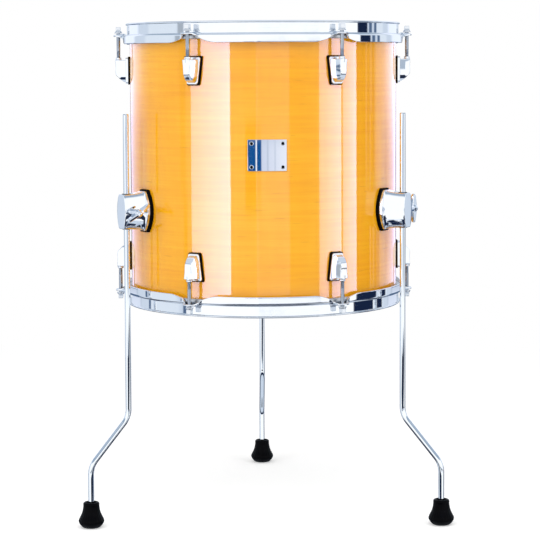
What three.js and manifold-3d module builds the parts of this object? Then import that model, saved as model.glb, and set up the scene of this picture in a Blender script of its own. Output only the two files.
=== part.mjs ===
// Floor tom: a wooden shell with two heads and hoops, single ended lugs and three bent legs.
// Millimetres, Z up. The front of the drum faces -Y and the feet stand on Z = 0.
// Azimuths turn about the drum's axis from the front, positive toward +X.

import * as THREE from 'three';
import { mergeVertices } from 'three/addons/utils/BufferGeometryUtils.js';
import Module from 'manifold-3d';

const wasm = await Module();
wasm.setup();

// Clearance between pieces that touch, and how far every cutting tool runs past its cut
const gap = 0.3;
const overrun = 2;

// Facets round the large rings and their seats, the small turned pieces and the bores
const ringFacets = 48;
const turnedFacets = 8;
const boreFacets = 10;
const legBoreFacets = 18;
const footFacets = 14;
const cornerFacets = 2;
const archFacets = 4;
const bushArcSteps = 6;
const legArcSteps = 5;

// Shell: plies bent to a tube, with a bearing edge cut at 45 degrees on both sides of its peak
const shellRadius = 177.8;
const shellDepth = 355.6;
const shellWall = 6.5;
const shellHeight = 284.8;
const bearingPeakShare = 0.46;
const ventRadius = 5;
const ventAzimuth = 120;

// Head: a film with a collar over the bearing edge, held in a ring, the flesh hoop
const filmThickness = 0.5;
const fleshWidth = 5.8;
const fleshHeight = 5;

// Triple flanged hoop: turned-out lip, upright band, step over the flesh hoop, skirt
const hoopRise = 8.5;
const hoopHeight = 27.3;
const hoopBand = 15;
const hoopSheet = 2.3;
const hoopLip = 1.7;
const hoopFit = 0.4;
const hoopShoulderShare = 0.5;

// Ears of the hoop and the scallops of the skirt beside them
const earCrownRise = 2.1;
const earDroop = 3;
const earReach = 6.5;
const earRootHalfWidth = 15;
const earTipHalfWidth = 7.2;
const earCornerRadius = 5.5;
const scallopHalfWidth = 35;
const scallopShares = [[0.29, 0], [0.34, 0.32], [0.51, 0.6], [0.72, 0.85]];

// Tension rods, one through each ear into the lug below it
const rodsPerHead = 6;
const firstRodAzimuth = 30;
const rodStandoff = 15.2;
const rodRadius = 2.5;
const rodGrip = 13;
const rodHole = 0.8;
const washerRadius = 5.2;
const washerThickness = 1.2;
const rodFlangeRadius = 4.5;
const rodFlangeHeight = 1.8;
const rodSquare = 6.35;
const rodSquareHeight = 5.3;

// Lugs: a tapered casting on a gasket, with the nut's collar at its mouth
const lugFromEdge = 53.8;
const lugBaseHeight = 34.5;
const lugBaseTop = 24;
const lugBaseBottom = 15.4;
const lugBaseThickness = 3;
const lugCorner = 2.6;
const lugBevel = 0.9;
const lugTopLedge = 3.2;
const lugBottomLedge = 2.9;
const lugStandoff = 19.4;
const lugBodyHalfWidths = [9, 8.2, 5.2];
const lugWaistShares = [0.97, 0.33];
const lugChinShares = [[1, 0.66], [0.97, 0.76], [0.78, 0.88], [0.3, 1]];
const lugRidgeShares = [[1.03, 0], [1, 0.56], [0.62, 0.96], [0, 1]];
const lugGasketThickness = 1.9;
const lugGasketMargin = 1.3;
const nutCollarRadius = 3.9;
const nutCollarHeight = 3.4;
const nutDepth = 16;

// Leg brackets: a barrel shaped flange and a tapered boss, bored for the leg and the wing bolt
const legAzimuths = { left: -60, right: 60, rear: 180 };
const bracketDrop = 57;
const bracketGasketThickness = 3;
const bracketGasketMargin = 2.1;
const flangeHalfHeight = 25.5;
const flangeHalfWidth = 17.9;
const flangeEndShare = 0.5;
const flangeThickness = 4;
const flangeBevel = 1;
const bossReach = 32.4;
const bossHalfWidth = 14;
const bossHalfHeight = 25;
const bossEndHalfHeight = 22.4;
const bossSectionShares = [
  { reach: 0, width: 1, end: 0.62, height: 1 },
  { reach: 0.14, width: 0.93, end: 0.63, height: 0.975 },
  { reach: 0.42, width: 0.9, end: 0.63, height: 0.93 },
  { reach: 0.72, width: 0.88, end: 0.62, height: 0.9 },
  { reach: 0.96, width: 0.87, end: 0.61, height: 0.896 },
  { reach: 1, width: 0.84, end: 0.59, height: 0.88 },
];
const barrelSteps = 4;

// Legs: bent rods that slide and turn in a split bush
const legRadius = 4.75;
const legStandoff = 28;
const legAboveBracket = 125.5;
const legOffset = 55;
const legLowerBend = 79;
const legUpperBend = 138;
const legBendRadius = 28;
const legBendSteps = 4;
const bushWall = 1.2;
const bushSlot = 1.6;
const bushLip = 1;

// Wing bolts: they screw in from the flank of the boss and pinch the bush on the leg
const wingShankRadius = 3;
const wingCollarRadius = 4.7;
const wingHubRadius = 5.4;
const wingTipRadius = 1;
const wingReach = 42;
const wingHubShares = [0.36, 0.7, 0.78, 0.9];
const wingSpan = 38.4;
const wingBladeThickness = 4.4;
const wingBladeBevel = 0.9;
const wingBladeShares = [[0.68, 0.24], [0.71, 0.8], [0.79, 1], [0.88, 0.9], [0.97, 0.24]];
const wingTurns = { left: -56, right: 0, rear: 34 };

// Feet: flared rubber with a recessed mouth for the leg
const footHeight = 33;
const footRadius = 16.5;
const footBaseRadius = 10.8;
const footSole = 10;
const footProfileShares = [
  [0.84, 0.075], [0.97, 0.17], [1, 0.26], [0.95, 0.35], [0.78, 0.5], [0.68, 0.66], [0.63, 0.92],
];
const footLipShares = [[0.56, 1], [0.46, 1]];
const footMouthShare = 0.9;

// Name plate without any text: a curved rectangle held by four domed rivets
const badgeWidth = 49;
const badgeHeight = 39.5;
const badgeThickness = 1;
const badgeRise = 18.2;
const badgeAzimuth = 0.7;
const badgeCorner = 1.2;
const badgeRivetRadius = 1.8;
const badgeRivetHeight = 0.9;
const badgeRivetInset = 5;

// Places that follow from the sizes above
const shellMiddle = shellHeight + shellDepth / 2;
const shellTop = shellHeight + shellDepth;
const peakRadius = shellRadius - shellWall * bearingPeakShare;
const collarInner = shellRadius + gap;
const collarOuter = collarInner + filmThickness;
const fleshOuter = collarInner + fleshWidth;
const bandInner = collarOuter + hoopFit;
const bandOuter = bandInner + hoopSheet;
const skirtInner = fleshOuter + hoopFit;
const skirtOuter = skirtInner + hoopSheet;
const stepTop = hoopRise - hoopBand;
const stepBottom = stepTop - hoopSheet;
const skirtBottom = hoopRise - hoopHeight;
const earCrown = stepTop + earCrownRise;
const rodCircle = shellRadius + rodStandoff;
const legCircle = shellRadius + legStandoff;
const footCircle = legCircle + legOffset;
const boreRadius = legRadius + gap + bushWall + gap;
const bracketHeight = shellMiddle - bracketDrop;
const bossStart = bracketGasketThickness + 2 * gap;
const lugBodyTop = lugBaseHeight / 2 - lugTopLedge;
const lugBodyLength = lugBaseHeight - lugTopLedge - lugBottomLedge;
const depthCentre = (footCircle + footRadius - skirtOuter) / 2;

const degrees = THREE.MathUtils.degToRad;

// Merges the corners of a geometry, drops empty triangles and turns its faces outward
function closed(geometry) {
  const bare = geometry.clone();
  bare.deleteAttribute('normal');
  bare.deleteAttribute('uv');
  const merged = mergeVertices(bare);
  const corner = merged.attributes.position;
  const from = merged.index.array;
  const kept = [];
  const [a, b, c] = [new THREE.Vector3(), new THREE.Vector3(), new THREE.Vector3()];
  let volume = 0;
  for (let i = 0; i < from.length; i += 3) {
    const [p, q, r] = [from[i], from[i + 1], from[i + 2]];
    if (p === q || q === r || r === p) continue;
    kept.push(p, q, r);
    a.fromBufferAttribute(corner, p);
    b.fromBufferAttribute(corner, q);
    c.fromBufferAttribute(corner, r);
    volume += a.dot(b.cross(c));
  }
  if (volume < 0) kept.reverse();
  merged.setIndex(kept);
  return merged;
}

function solid(geometry) {
  const source = closed(geometry);
  const vertProperties = Float32Array.from(source.attributes.position.array);
  const triVerts = Uint32Array.from(source.index.array);
  return new wasm.Manifold(new wasm.Mesh({ numProp: 3, vertProperties, triVerts }));
}

function geometryOf(body) {
  const mesh = body.getMesh();
  const geometry = new THREE.BufferGeometry();
  geometry.setAttribute('position', new THREE.BufferAttribute(mesh.vertProperties, 3));
  geometry.setIndex(new THREE.BufferAttribute(mesh.triVerts, 1));
  return geometry;
}

// Turns a profile of [radius, height] points about Z; off the axis it closes on itself
function revolve(profile, facets) {
  const points = profile.map(([radius, height]) => new THREE.Vector2(radius, height));
  if (points[0].x > 0) points.push(points[0].clone());
  return closed(new THREE.LatheGeometry(points, facets).rotateX(Math.PI / 2));
}

function cylinder(radius, bottom, top, facets) {
  return revolve([[0, bottom], [radius, bottom], [radius, top], [0, top]], facets);
}

// Outline through corner points, each corner rounded by the same radius
function roundedOutline(corners, radius) {
  const outline = new THREE.Shape();
  corners.forEach(([x, y], index) => {
    const corner = new THREE.Vector2(x, y);
    const before = new THREE.Vector2(...corners.at(index - 1));
    const after = new THREE.Vector2(...corners[(index + 1) % corners.length]);
    const arrive = corner.clone().add(before.sub(corner).setLength(radius));
    const leave = corner.clone().add(after.sub(corner).setLength(radius));
    if (index === 0) outline.moveTo(arrive.x, arrive.y);
    else outline.lineTo(arrive.x, arrive.y);
    outline.quadraticCurveTo(corner.x, corner.y, leave.x, leave.y);
  });
  outline.closePath();
  return outline;
}

function plainOutline(points) {
  return new THREE.Shape(points.map(([x, y]) => new THREE.Vector2(x, y)));
}

// Mirrors the right half of an outline, given from bottom to top, about its upright axis
function symmetric(half) {
  const left = half.filter(([x]) => x > 0).map(([x, y]) => [-x, y]).reverse();
  return [...half, ...left];
}

// Prism of an outline drawn in X and Z, from one distance outward (-Y) to another
function frontPrism(outline, near, far, curveSegments = cornerFacets) {
  const depth = far - near;
  const prism = new THREE.ExtrudeGeometry(outline, { depth, curveSegments, bevelEnabled: false });
  return prism.rotateX(Math.PI / 2).translate(0, -near, 0);
}

// The same, with its outer rim bevelled
function bevelledPrism(outline, near, far, bevel, curveSegments = cornerFacets) {
  const prism = new THREE.ExtrudeGeometry(outline, {
    depth: far - near - bevel,
    curveSegments,
    bevelEnabled: true,
    bevelThickness: bevel,
    bevelSize: bevel,
    bevelOffset: -bevel,
    bevelSegments: 1,
  });
  return prism.rotateX(Math.PI / 2).translate(0, -near, 0);
}

// Prism of an outline drawn in outward distance and Z, centred on X
function sidePrism(outline, width, curveSegments = cornerFacets) {
  const prism = new THREE.ExtrudeGeometry(outline, { depth: width, curveSegments, bevelEnabled: false });
  const outward = new THREE.Vector3(0, -1, 0);
  const up = new THREE.Vector3(0, 0, 1);
  const across = new THREE.Vector3(-1, 0, 0);
  prism.translate(0, 0, -width / 2);
  return prism.applyMatrix4(new THREE.Matrix4().makeBasis(outward, up, across));
}

// Prism of an outline drawn in X and outward distance, from one height to another
function planPrism(outline, bottom, top, curveSegments = cornerFacets) {
  const depth = top - bottom;
  const prism = new THREE.ExtrudeGeometry(outline, { depth, curveSegments, bevelEnabled: false });
  const across = new THREE.Vector3(1, 0, 0);
  const outward = new THREE.Vector3(0, -1, 0);
  const down = new THREE.Vector3(0, 0, -1);
  prism.applyMatrix4(new THREE.Matrix4().makeBasis(across, outward, down));
  return prism.translate(0, 0, top);
}

// Barrel outline: flat top and bottom, bowed sides
function barrel(halfWidth, endShare, halfHeight) {
  const half = [];
  for (let step = 0; step <= barrelSteps; step += 1) {
    const rise = 2 * step / barrelSteps - 1;
    const bow = halfWidth * (endShare + (1 - endShare) * (1 - rise * rise));
    half.push([bow, rise * halfHeight]);
  }
  return symmetric(half);
}

// Skin through rings of equal point counts, closed at both ends with a fan
function loft(rings) {
  const count = rings[0].length;
  const centres = [rings[0], rings.at(-1)].map((ring) => {
    const sum = ring.reduce((total, point) => total.add(point), new THREE.Vector3());
    return sum.divideScalar(count);
  });
  const corners = [...rings.flat(), ...centres];
  const [firstCentre, lastCentre] = [corners.length - 2, corners.length - 1];
  const faces = [];
  for (let i = 0; i < count; i += 1) {
    const j = (i + 1) % count;
    for (let ring = 0; ring < rings.length - 1; ring += 1) {
      const near = ring * count;
      const far = near + count;
      faces.push(near + i, near + j, far + j, near + i, far + j, far + i);
    }
    const end = (rings.length - 1) * count;
    faces.push(firstCentre, j, i, lastCentre, end + i, end + j);
  }
  const geometry = new THREE.BufferGeometry().setFromPoints(corners);
  geometry.setIndex(faces);
  return closed(geometry);
}

// Cylinder about the drum's axis that gives a seat its curve
function seatCylinder(distance, halfHeight) {
  return solid(cylinder(shellRadius + distance, -halfHeight, halfHeight, ringFacets));
}

// Curved sheet with the given outline, lying between two distances from the shell
function curvedSheet(outline, near, far, halfHeight, curveSegments) {
  const slab = solid(frontPrism(outline, shellRadius / 2, shellRadius + far + overrun, curveSegments));
  const reach = halfHeight + overrun;
  return slab.intersect(seatCylinder(far, reach)).subtract(seatCylinder(near, reach));
}

function shell() {
  const inner = shellRadius - shellWall;
  const innerCut = peakRadius - inner;
  const outerCut = shellRadius - peakRadius;
  const half = shellDepth / 2;
  const tube = solid(revolve([
    [inner, innerCut - half],
    [peakRadius, -half],
    [shellRadius, outerCut - half],
    [shellRadius, half - outerCut],
    [peakRadius, half],
    [inner, half - innerCut],
  ], ringFacets));
  const drill = cylinder(ventRadius, inner - overrun, shellRadius + overrun, boreFacets);
  drill.rotateX(Math.PI / 2).rotateZ(degrees(ventAzimuth));
  return geometryOf(tube.subtract(solid(drill)));
}

// Film, collar and flesh hoop, with heights counted from the bearing edge
function head() {
  const filmBottom = gap;
  const filmTop = filmBottom + filmThickness;
  const breakDrop = filmBottom - (collarInner - peakRadius);
  const fleshTop = stepBottom - gap;
  const fleshBottom = fleshTop - fleshHeight;
  return revolve([
    [0, filmBottom],
    [peakRadius, filmBottom],
    [collarInner, breakDrop],
    [collarInner, fleshBottom],
    [fleshOuter, fleshBottom],
    [fleshOuter, fleshTop],
    [collarOuter, fleshTop],
    [collarOuter, breakDrop + filmThickness / 2],
    [peakRadius + filmThickness / 2, filmTop],
    [0, filmTop],
  ], ringFacets);
}

// Arched tab that carries one tension rod
function ear() {
  const [left, right] = [-earRootHalfWidth, earRootHalfWidth];
  const side = earCrown - earDroop;
  const arch = new THREE.Shape();
  arch.moveTo(left, side);
  arch.quadraticCurveTo(0, earCrown + earDroop, right, side);
  arch.lineTo(right, side - hoopSheet);
  arch.quadraticCurveTo(0, earCrown + earDroop - hoopSheet, left, side - hoopSheet);
  arch.closePath();
  const root = (bandInner + bandOuter) / 2;
  const tip = rodCircle + earReach;
  const outline = roundedOutline([
    [left, root],
    [right, root],
    [earTipHalfWidth, tip],
    [-earTipHalfWidth, tip],
  ], earCornerRadius);
  const tab = solid(frontPrism(arch, root - overrun, tip + overrun, archFacets));
  const plan = solid(planPrism(outline, skirtBottom, hoopRise));
  const fleshRoom = solid(cylinder(skirtInner, skirtBottom, stepBottom, ringFacets));
  return tab.intersect(plan).subtract(fleshRoom);
}

// Cutter for the scallop that the skirt has beside an ear
function scallop() {
  const depth = stepBottom - skirtBottom;
  const rim = scallopShares.map(([across, down]) => [scallopHalfWidth * across, stepBottom - depth * down]);
  const half = [
    [scallopHalfWidth + overrun, skirtBottom - overrun],
    [scallopHalfWidth, skirtBottom],
    ...rim.reverse(),
  ];
  return solid(frontPrism(plainOutline(symmetric(half)), shellRadius, skirtOuter + overrun));
}

function hoop() {
  const lipRadius = bandOuter + hoopLip;
  const shoulder = hoopSheet * hoopShoulderShare;
  let ring = solid(revolve([
    [bandInner, stepBottom],
    [skirtInner, stepBottom],
    [skirtInner, skirtBottom],
    [skirtOuter, skirtBottom],
    [skirtOuter, stepTop - shoulder],
    [skirtOuter - shoulder, stepTop],
    [bandOuter, stepTop],
    [bandOuter, hoopRise - hoopSheet],
    [lipRadius, hoopRise - hoopSheet],
    [lipRadius, hoopRise],
    [bandInner, hoopRise],
  ], ringFacets));
  const cutter = scallop();
  const tab = ear();
  const drill = cylinder(rodRadius + rodHole, skirtBottom, hoopRise, turnedFacets);
  const hole = solid(drill.translate(0, -rodCircle, 0));
  for (let index = 0; index < rodsPerHead; index += 1) {
    const azimuth = firstRodAzimuth + index * 360 / rodsPerHead;
    const turn = [0, 0, azimuth];
    ring = ring.subtract(cutter.rotate(turn)).add(tab.rotate(turn)).subtract(hole.rotate(turn));
  }
  return geometryOf(ring);
}

// Rod with its washer, flange and square drive, standing on its ear
function tensionRod() {
  const seat = earCrown + gap;
  const flangeBottom = seat + washerThickness;
  const squareBottom = flangeBottom + rodFlangeHeight;
  const squareTop = squareBottom + rodSquareHeight;
  const lugMouth = lugBodyTop + nutCollarHeight - lugFromEdge;
  const tip = lugMouth - rodGrip;
  const shank = solid(revolve([
    [0, tip],
    [rodRadius, tip],
    [rodRadius, flangeBottom],
    [0, flangeBottom],
  ], turnedFacets));
  const collar = solid(revolve([
    [0, seat],
    [washerRadius, seat],
    [washerRadius, flangeBottom],
    [rodFlangeRadius, flangeBottom],
    [rodFlangeRadius, squareBottom],
    [0, squareBottom],
  ], turnedFacets));
  const drive = solid(new THREE.BoxGeometry(rodSquare, rodSquare, squareTop - flangeBottom)
    .translate(0, 0, (squareTop + flangeBottom) / 2));
  return geometryOf(shank.add(collar).add(drive).translate([0, -rodCircle, 0]));
}

function lugOutline(margin) {
  const [top, bottom] = [lugBaseTop / 2 + margin, lugBaseBottom / 2 + margin];
  const half = lugBaseHeight / 2 + margin;
  return roundedOutline([[bottom, -half], [top, half], [-top, half], [-bottom, -half]], lugCorner);
}

// Raised part of the lug, cut from three outlines seen from the side, the front and above
function lugBody(seat) {
  const reach = lugStandoff - seat;
  const bottom = lugBodyTop - lugBodyLength;
  const [waistOut, waistDown] = lugWaistShares;
  const chin = lugChinShares.map(([out, down]) => [reach * out, lugBodyTop - lugBodyLength * down]);
  const side = plainOutline([
    [0, lugBodyTop],
    [reach, lugBodyTop],
    [reach * waistOut, lugBodyTop - lugBodyLength * waistDown],
    ...chin,
    [0, bottom],
  ]);
  const [wide, middle, narrow] = lugBodyHalfWidths;
  const front = plainOutline(symmetric([
    [narrow, bottom],
    [middle, (bottom + lugBodyTop) / 2],
    [wide, lugBodyTop],
  ]));
  const ridge = plainOutline(symmetric(lugRidgeShares.map(([across, out]) => [wide * across, reach * out])));
  const start = shellRadius + seat;
  const body = solid(sidePrism(side, 4 * wide)).translate([0, -start, 0]);
  const plan = solid(planPrism(ridge, bottom - overrun, lugBodyTop + overrun)).translate([0, -start, 0]);
  return body.intersect(plan).intersect(solid(frontPrism(front, start - overrun, start + reach + overrun)));
}

// Lug casting with its nut, centred on its base
function lug() {
  const seat = lugGasketThickness + 2 * gap;
  const baseTop = shellRadius + seat + lugBaseThickness;
  const base = solid(bevelledPrism(lugOutline(0), shellRadius / 2, baseTop, lugBevel));
  const mouth = lugBodyTop + nutCollarHeight;
  const collar = cylinder(nutCollarRadius, lugBodyTop - nutCollarHeight, mouth, turnedFacets)
    .translate(0, -rodCircle, 0);
  const drill = cylinder(rodRadius + gap, mouth - nutDepth, mouth + overrun, boreFacets);
  const bore = solid(drill.translate(0, -rodCircle, 0));
  const whole = base.add(lugBody(seat)).add(solid(collar)).subtract(bore);
  return geometryOf(whole.subtract(seatCylinder(seat, lugBaseHeight)).translate([0, 0, -lugFromEdge]));
}

function lugGasket() {
  const outline = lugOutline(lugGasketMargin);
  const sheet = curvedSheet(outline, gap, gap + lugGasketThickness, lugBaseHeight, cornerFacets);
  return geometryOf(sheet.translate([0, 0, -lugFromEdge]));
}

function bracketGasket() {
  const [width, height] = [flangeHalfWidth + bracketGasketMargin, flangeHalfHeight + bracketGasketMargin];
  const outline = plainOutline(barrel(width, flangeEndShare, height));
  return geometryOf(curvedSheet(outline, gap, gap + bracketGasketThickness, height, cornerFacets));
}

// Bracket casting: flange, tapered boss, upright bore for the leg and tapped hole for the wing bolt
function legBracket() {
  const outline = plainOutline(barrel(flangeHalfWidth, flangeEndShare, flangeHalfHeight));
  const flangeTop = shellRadius + bossStart + flangeThickness;
  const flange = solid(bevelledPrism(outline, shellRadius / 2, flangeTop, flangeBevel));
  const rings = bossSectionShares.map(({ reach, width, end, height }) => {
    const distance = shellRadius + bossStart + bossReach * reach;
    const section = barrel(bossHalfWidth * width, end, bossHalfHeight * height);
    return section.map(([x, z]) => new THREE.Vector3(x, -distance, z));
  });
  const boss = solid(loft(rings));
  const legBore = cylinder(boreRadius, -flangeHalfHeight, flangeHalfHeight, legBoreFacets);
  const boltBore = cylinder(wingShankRadius + gap, 0, wingReach, boreFacets).rotateY(Math.PI / 2);
  return geometryOf(flange.add(boss)
    .subtract(seatCylinder(bossStart, flangeHalfHeight + overrun))
    .subtract(solid(legBore.translate(0, -legCircle, 0)))
    .subtract(solid(boltBore.translate(0, -legCircle, 0))));
}

// Split bush round the leg, as tall as the boss at the bore with a little standing out
function bush() {
  const inner = legRadius + gap;
  const outer = inner + bushWall;
  const slot = Math.asin(bushSlot / 2 / inner);
  const start = -Math.PI / 2 + slot;
  const end = 3 * Math.PI / 2 - slot;
  const outline = new THREE.Shape();
  outline.absarc(0, 0, outer, start, end, false);
  outline.absarc(0, 0, inner, end, start, true);
  outline.closePath();
  const half = bossEndHalfHeight + bushLip;
  const tube = new THREE.ExtrudeGeometry(outline, {
    depth: 2 * half,
    curveSegments: bushArcSteps,
    bevelEnabled: false,
  });
  return closed(tube.translate(0, -legCircle, -half));
}

// Wing bolt along +X: shank, collar, hub with a pointed end, and two blades
function wingBolt(turn) {
  const pinch = boreRadius;
  const [collarStart, hubEnd, hubSwell, hubNeck] = wingHubShares.map((share) => wingReach * share);
  const spindle = solid(revolve([
    [0, pinch],
    [wingShankRadius, pinch],
    [wingShankRadius, collarStart],
    [wingCollarRadius, collarStart],
    [wingCollarRadius, hubEnd],
    [wingHubRadius, hubSwell],
    [wingCollarRadius, hubNeck],
    [wingTipRadius, wingReach],
    [0, wingReach],
  ], turnedFacets).rotateY(Math.PI / 2));
  const blade = wingBladeShares.map(([along, out]) => [wingReach * along, wingSpan / 2 * out]);
  const outline = plainOutline([...blade, ...blade.map(([x, z]) => [x, -z]).reverse()]);
  const half = wingBladeThickness / 2;
  const blades = solid(new THREE.ExtrudeGeometry(outline, {
    depth: wingBladeThickness - 2 * wingBladeBevel,
    bevelEnabled: true,
    bevelThickness: wingBladeBevel,
    bevelSize: wingBladeBevel,
    bevelOffset: -wingBladeBevel,
    bevelSegments: 1,
  }).translate(0, 0, wingBladeBevel - half).rotateX(Math.PI / 2));
  return geometryOf(spindle.add(blades).rotate([turn, 0, 0]).translate([0, -legCircle, 0]));
}

// Centre line of a leg: straight runs joined by two arcs, one point where each facet ring goes
class LegPath extends THREE.Curve {
  constructor(corners, radius) {
    super();
    this.points = [corners[0]];
    for (let i = 1; i < corners.length - 1; i += 1) {
      const arrive = corners[i].clone().sub(corners[i - 1]).normalize();
      const leave = corners[i + 1].clone().sub(corners[i]).normalize();
      const bend = arrive.angleTo(leave);
      const setback = radius * Math.tan(bend / 2);
      const start = corners[i].clone().addScaledVector(arrive, -setback);
      const side = leave.clone().addScaledVector(arrive, -Math.cos(bend)).normalize();
      for (let step = 0; step <= legBendSteps; step += 1) {
        const angle = bend * step / legBendSteps;
        this.points.push(start.clone()
          .addScaledVector(arrive, radius * Math.sin(angle))
          .addScaledVector(side, radius * (1 - Math.cos(angle))));
      }
    }
    this.points.push(corners.at(-1));
  }

  getPoint(t) {
    const place = Math.min(Math.max(t, 0), 1) * (this.points.length - 1);
    const index = Math.min(Math.floor(place), this.points.length - 2);
    return this.points[index].clone().lerp(this.points[index + 1], place - index);
  }

  getUtoTmapping(u) {
    return u;
  }
}

// Leg with heights counted from the floor
function leg() {
  const path = new LegPath([
    new THREE.Vector3(0, -legCircle, bracketHeight + legAboveBracket),
    new THREE.Vector3(0, -legCircle, legUpperBend),
    new THREE.Vector3(0, -footCircle, legLowerBend),
    new THREE.Vector3(0, -footCircle, footSole + gap),
  ], legBendRadius);
  const section = new THREE.Shape();
  section.absarc(0, 0, legRadius, 0, 2 * Math.PI, false);
  const rod = new THREE.ExtrudeGeometry(section, {
    extrudePath: path,
    steps: path.points.length - 1,
    curveSegments: legArcSteps,
  });
  return closed(rod);
}

function foot() {
  const flare = footProfileShares.map(([out, up]) => [footRadius * out, footHeight * up]);
  const lip = footLipShares.map(([out, up]) => [footRadius * out, footHeight * up]);
  const bore = legRadius + gap;
  const body = revolve([
    [0, 0],
    [footBaseRadius, 0],
    ...flare,
    ...lip,
    [bore, footHeight * footMouthShare],
    [bore, footSole],
    [0, footSole],
  ], footFacets);
  return body.translate(0, -footCircle, 0);
}

// Name plate with heights counted from its centre
function badge() {
  const [halfWidth, halfHeight] = [badgeWidth / 2, badgeHeight / 2];
  const outline = roundedOutline([
    [halfWidth, -halfHeight],
    [halfWidth, halfHeight],
    [-halfWidth, halfHeight],
    [-halfWidth, -halfHeight],
  ], badgeCorner);
  let plate = curvedSheet(outline, gap, gap + badgeThickness, halfHeight, 1);
  const face = shellRadius + gap + badgeThickness;
  const across = halfWidth - badgeRivetInset;
  const up = halfHeight - badgeRivetInset;
  const rivet = solid(revolve([
    [0, -badgeThickness / 2],
    [badgeRivetRadius, -badgeThickness / 2],
    [badgeRivetRadius, 0],
    [badgeRivetRadius / 2, badgeRivetHeight],
    [0, badgeRivetHeight],
  ], turnedFacets).rotateX(Math.PI / 2).translate(0, -face, 0));
  const swing = THREE.MathUtils.radToDeg(Math.asin(across / face));
  for (const side of [-1, 1]) {
    for (const level of [-1, 1]) {
      plate = plate.add(rivet.rotate([0, 0, side * swing]).translate([0, 0, level * up]));
    }
  }
  return geometryOf(plate);
}

const lacquer = { color: 0xe89a3c, roughness: 0.16, metalness: 0 };
const chrome = { color: 0xd6d9de, roughness: 0.09, metalness: 1 };
const aluminium = { color: 0xc4c7cb, roughness: 0.35, metalness: 1 };
const film = { color: 0xf0efea, roughness: 0.55, metalness: 0 };
const rubber = { color: 0x17171a, roughness: 0.6, metalness: 0 };
const nylon = { color: 0x26262a, roughness: 0.45, metalness: 0 };

const floorTom = new THREE.Group();
floorTom.position.y = -depthCentre;

function addPiece(parent, name, geometry, finish) {
  const mesh = new THREE.Mesh(geometry, new THREE.MeshStandardMaterial(finish));
  mesh.name = name;
  parent.add(mesh);
  return mesh;
}

// Group turned to an azimuth and raised to a height, upside down for the lower head
function station(azimuth, height, inverted = false) {
  const turned = new THREE.Group();
  turned.rotation.z = degrees(azimuth);
  const raised = new THREE.Group();
  raised.position.z = height;
  raised.rotation.y = inverted ? Math.PI : 0;
  turned.add(raised);
  floorTom.add(turned);
  return raised;
}

function addHeadSide(side, edge, inverted) {
  const middle = station(0, edge, inverted);
  addPiece(middle, `${side}_head`, head(), film);
  addPiece(middle, `${side}_hoop`, hoop(), chrome);
  for (let index = 0; index < rodsPerHead; index += 1) {
    const place = station(firstRodAzimuth + index * 360 / rodsPerHead, edge, inverted);
    const number = index + 1;
    addPiece(place, `${side}_tension_rod_${number}`, tensionRod(), chrome);
    addPiece(place, `${side}_lug_${number}`, lug(), chrome);
    addPiece(place, `${side}_lug_gasket_${number}`, lugGasket(), rubber);
  }
}

function addLeg(name, azimuth) {
  const upper = station(azimuth, bracketHeight);
  addPiece(upper, `leg_bracket_${name}`, legBracket(), chrome);
  addPiece(upper, `leg_bracket_gasket_${name}`, bracketGasket(), rubber);
  addPiece(upper, `leg_bush_${name}`, bush(), nylon);
  addPiece(upper, `wing_bolt_${name}`, wingBolt(wingTurns[name]), chrome);
  const lower = station(azimuth, 0);
  addPiece(lower, `leg_${name}`, leg(), aluminium);
  addPiece(lower, `foot_${name}`, foot(), rubber);
}

addPiece(station(0, shellMiddle), 'shell', shell(), lacquer);
addPiece(station(badgeAzimuth, shellMiddle + badgeRise), 'badge', badge(), chrome);
addHeadSide('batter', shellTop, false);
addHeadSide('resonant', shellHeight, true);
Object.entries(legAzimuths).forEach(([name, azimuth]) => addLeg(name, azimuth));

export default floorTom;
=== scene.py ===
"""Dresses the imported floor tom: lacquered shell, chromed hoops and lugs, bent legs and rubber feet.

Every piece is modelled in millimetres at its own upright station, with the outward direction along
-Y. It is then turned to its azimuth about the drum's axis and written in metres.
"""

import logging
import math
from collections.abc import Callable, Iterable, Mapping, Sequence
from dataclasses import dataclass, field
from enum import Enum
from functools import cache, cached_property

import bmesh
import bpy
from mathutils import Matrix, Vector


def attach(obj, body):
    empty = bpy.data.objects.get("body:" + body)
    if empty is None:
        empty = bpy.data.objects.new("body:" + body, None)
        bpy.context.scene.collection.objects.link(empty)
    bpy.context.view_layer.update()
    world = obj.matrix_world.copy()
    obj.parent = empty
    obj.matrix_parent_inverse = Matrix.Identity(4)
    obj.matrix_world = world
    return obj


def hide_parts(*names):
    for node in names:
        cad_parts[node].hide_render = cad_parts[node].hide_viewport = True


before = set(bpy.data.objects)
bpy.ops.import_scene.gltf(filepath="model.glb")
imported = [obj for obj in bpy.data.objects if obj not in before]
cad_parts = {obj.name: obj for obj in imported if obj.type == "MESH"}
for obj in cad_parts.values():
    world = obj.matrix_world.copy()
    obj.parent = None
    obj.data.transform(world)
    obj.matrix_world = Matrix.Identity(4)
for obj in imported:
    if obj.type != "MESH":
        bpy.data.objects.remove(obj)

log = logging.getLogger("floor_tom")

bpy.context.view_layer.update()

METRES = 0.001
AXIS_Y = -45.35
SHELL_RADIUS = 177.8
PEAK_RADIUS = 174.81
FULL_TURN = 2 * math.pi
WELD = 1e-4
TOUCH = 0.01
CREASE = 38.0
FOOT_CREASE = 50.0
SOFT_ANGLE = 40.0

Colour = tuple[float, float, float]
Corner = tuple[float, float, float]
Table = tuple[tuple[float, float], ...]
Sockets = Mapping[str | int, object]
Material = bpy.types.Material
Thing = bpy.types.Object


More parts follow.
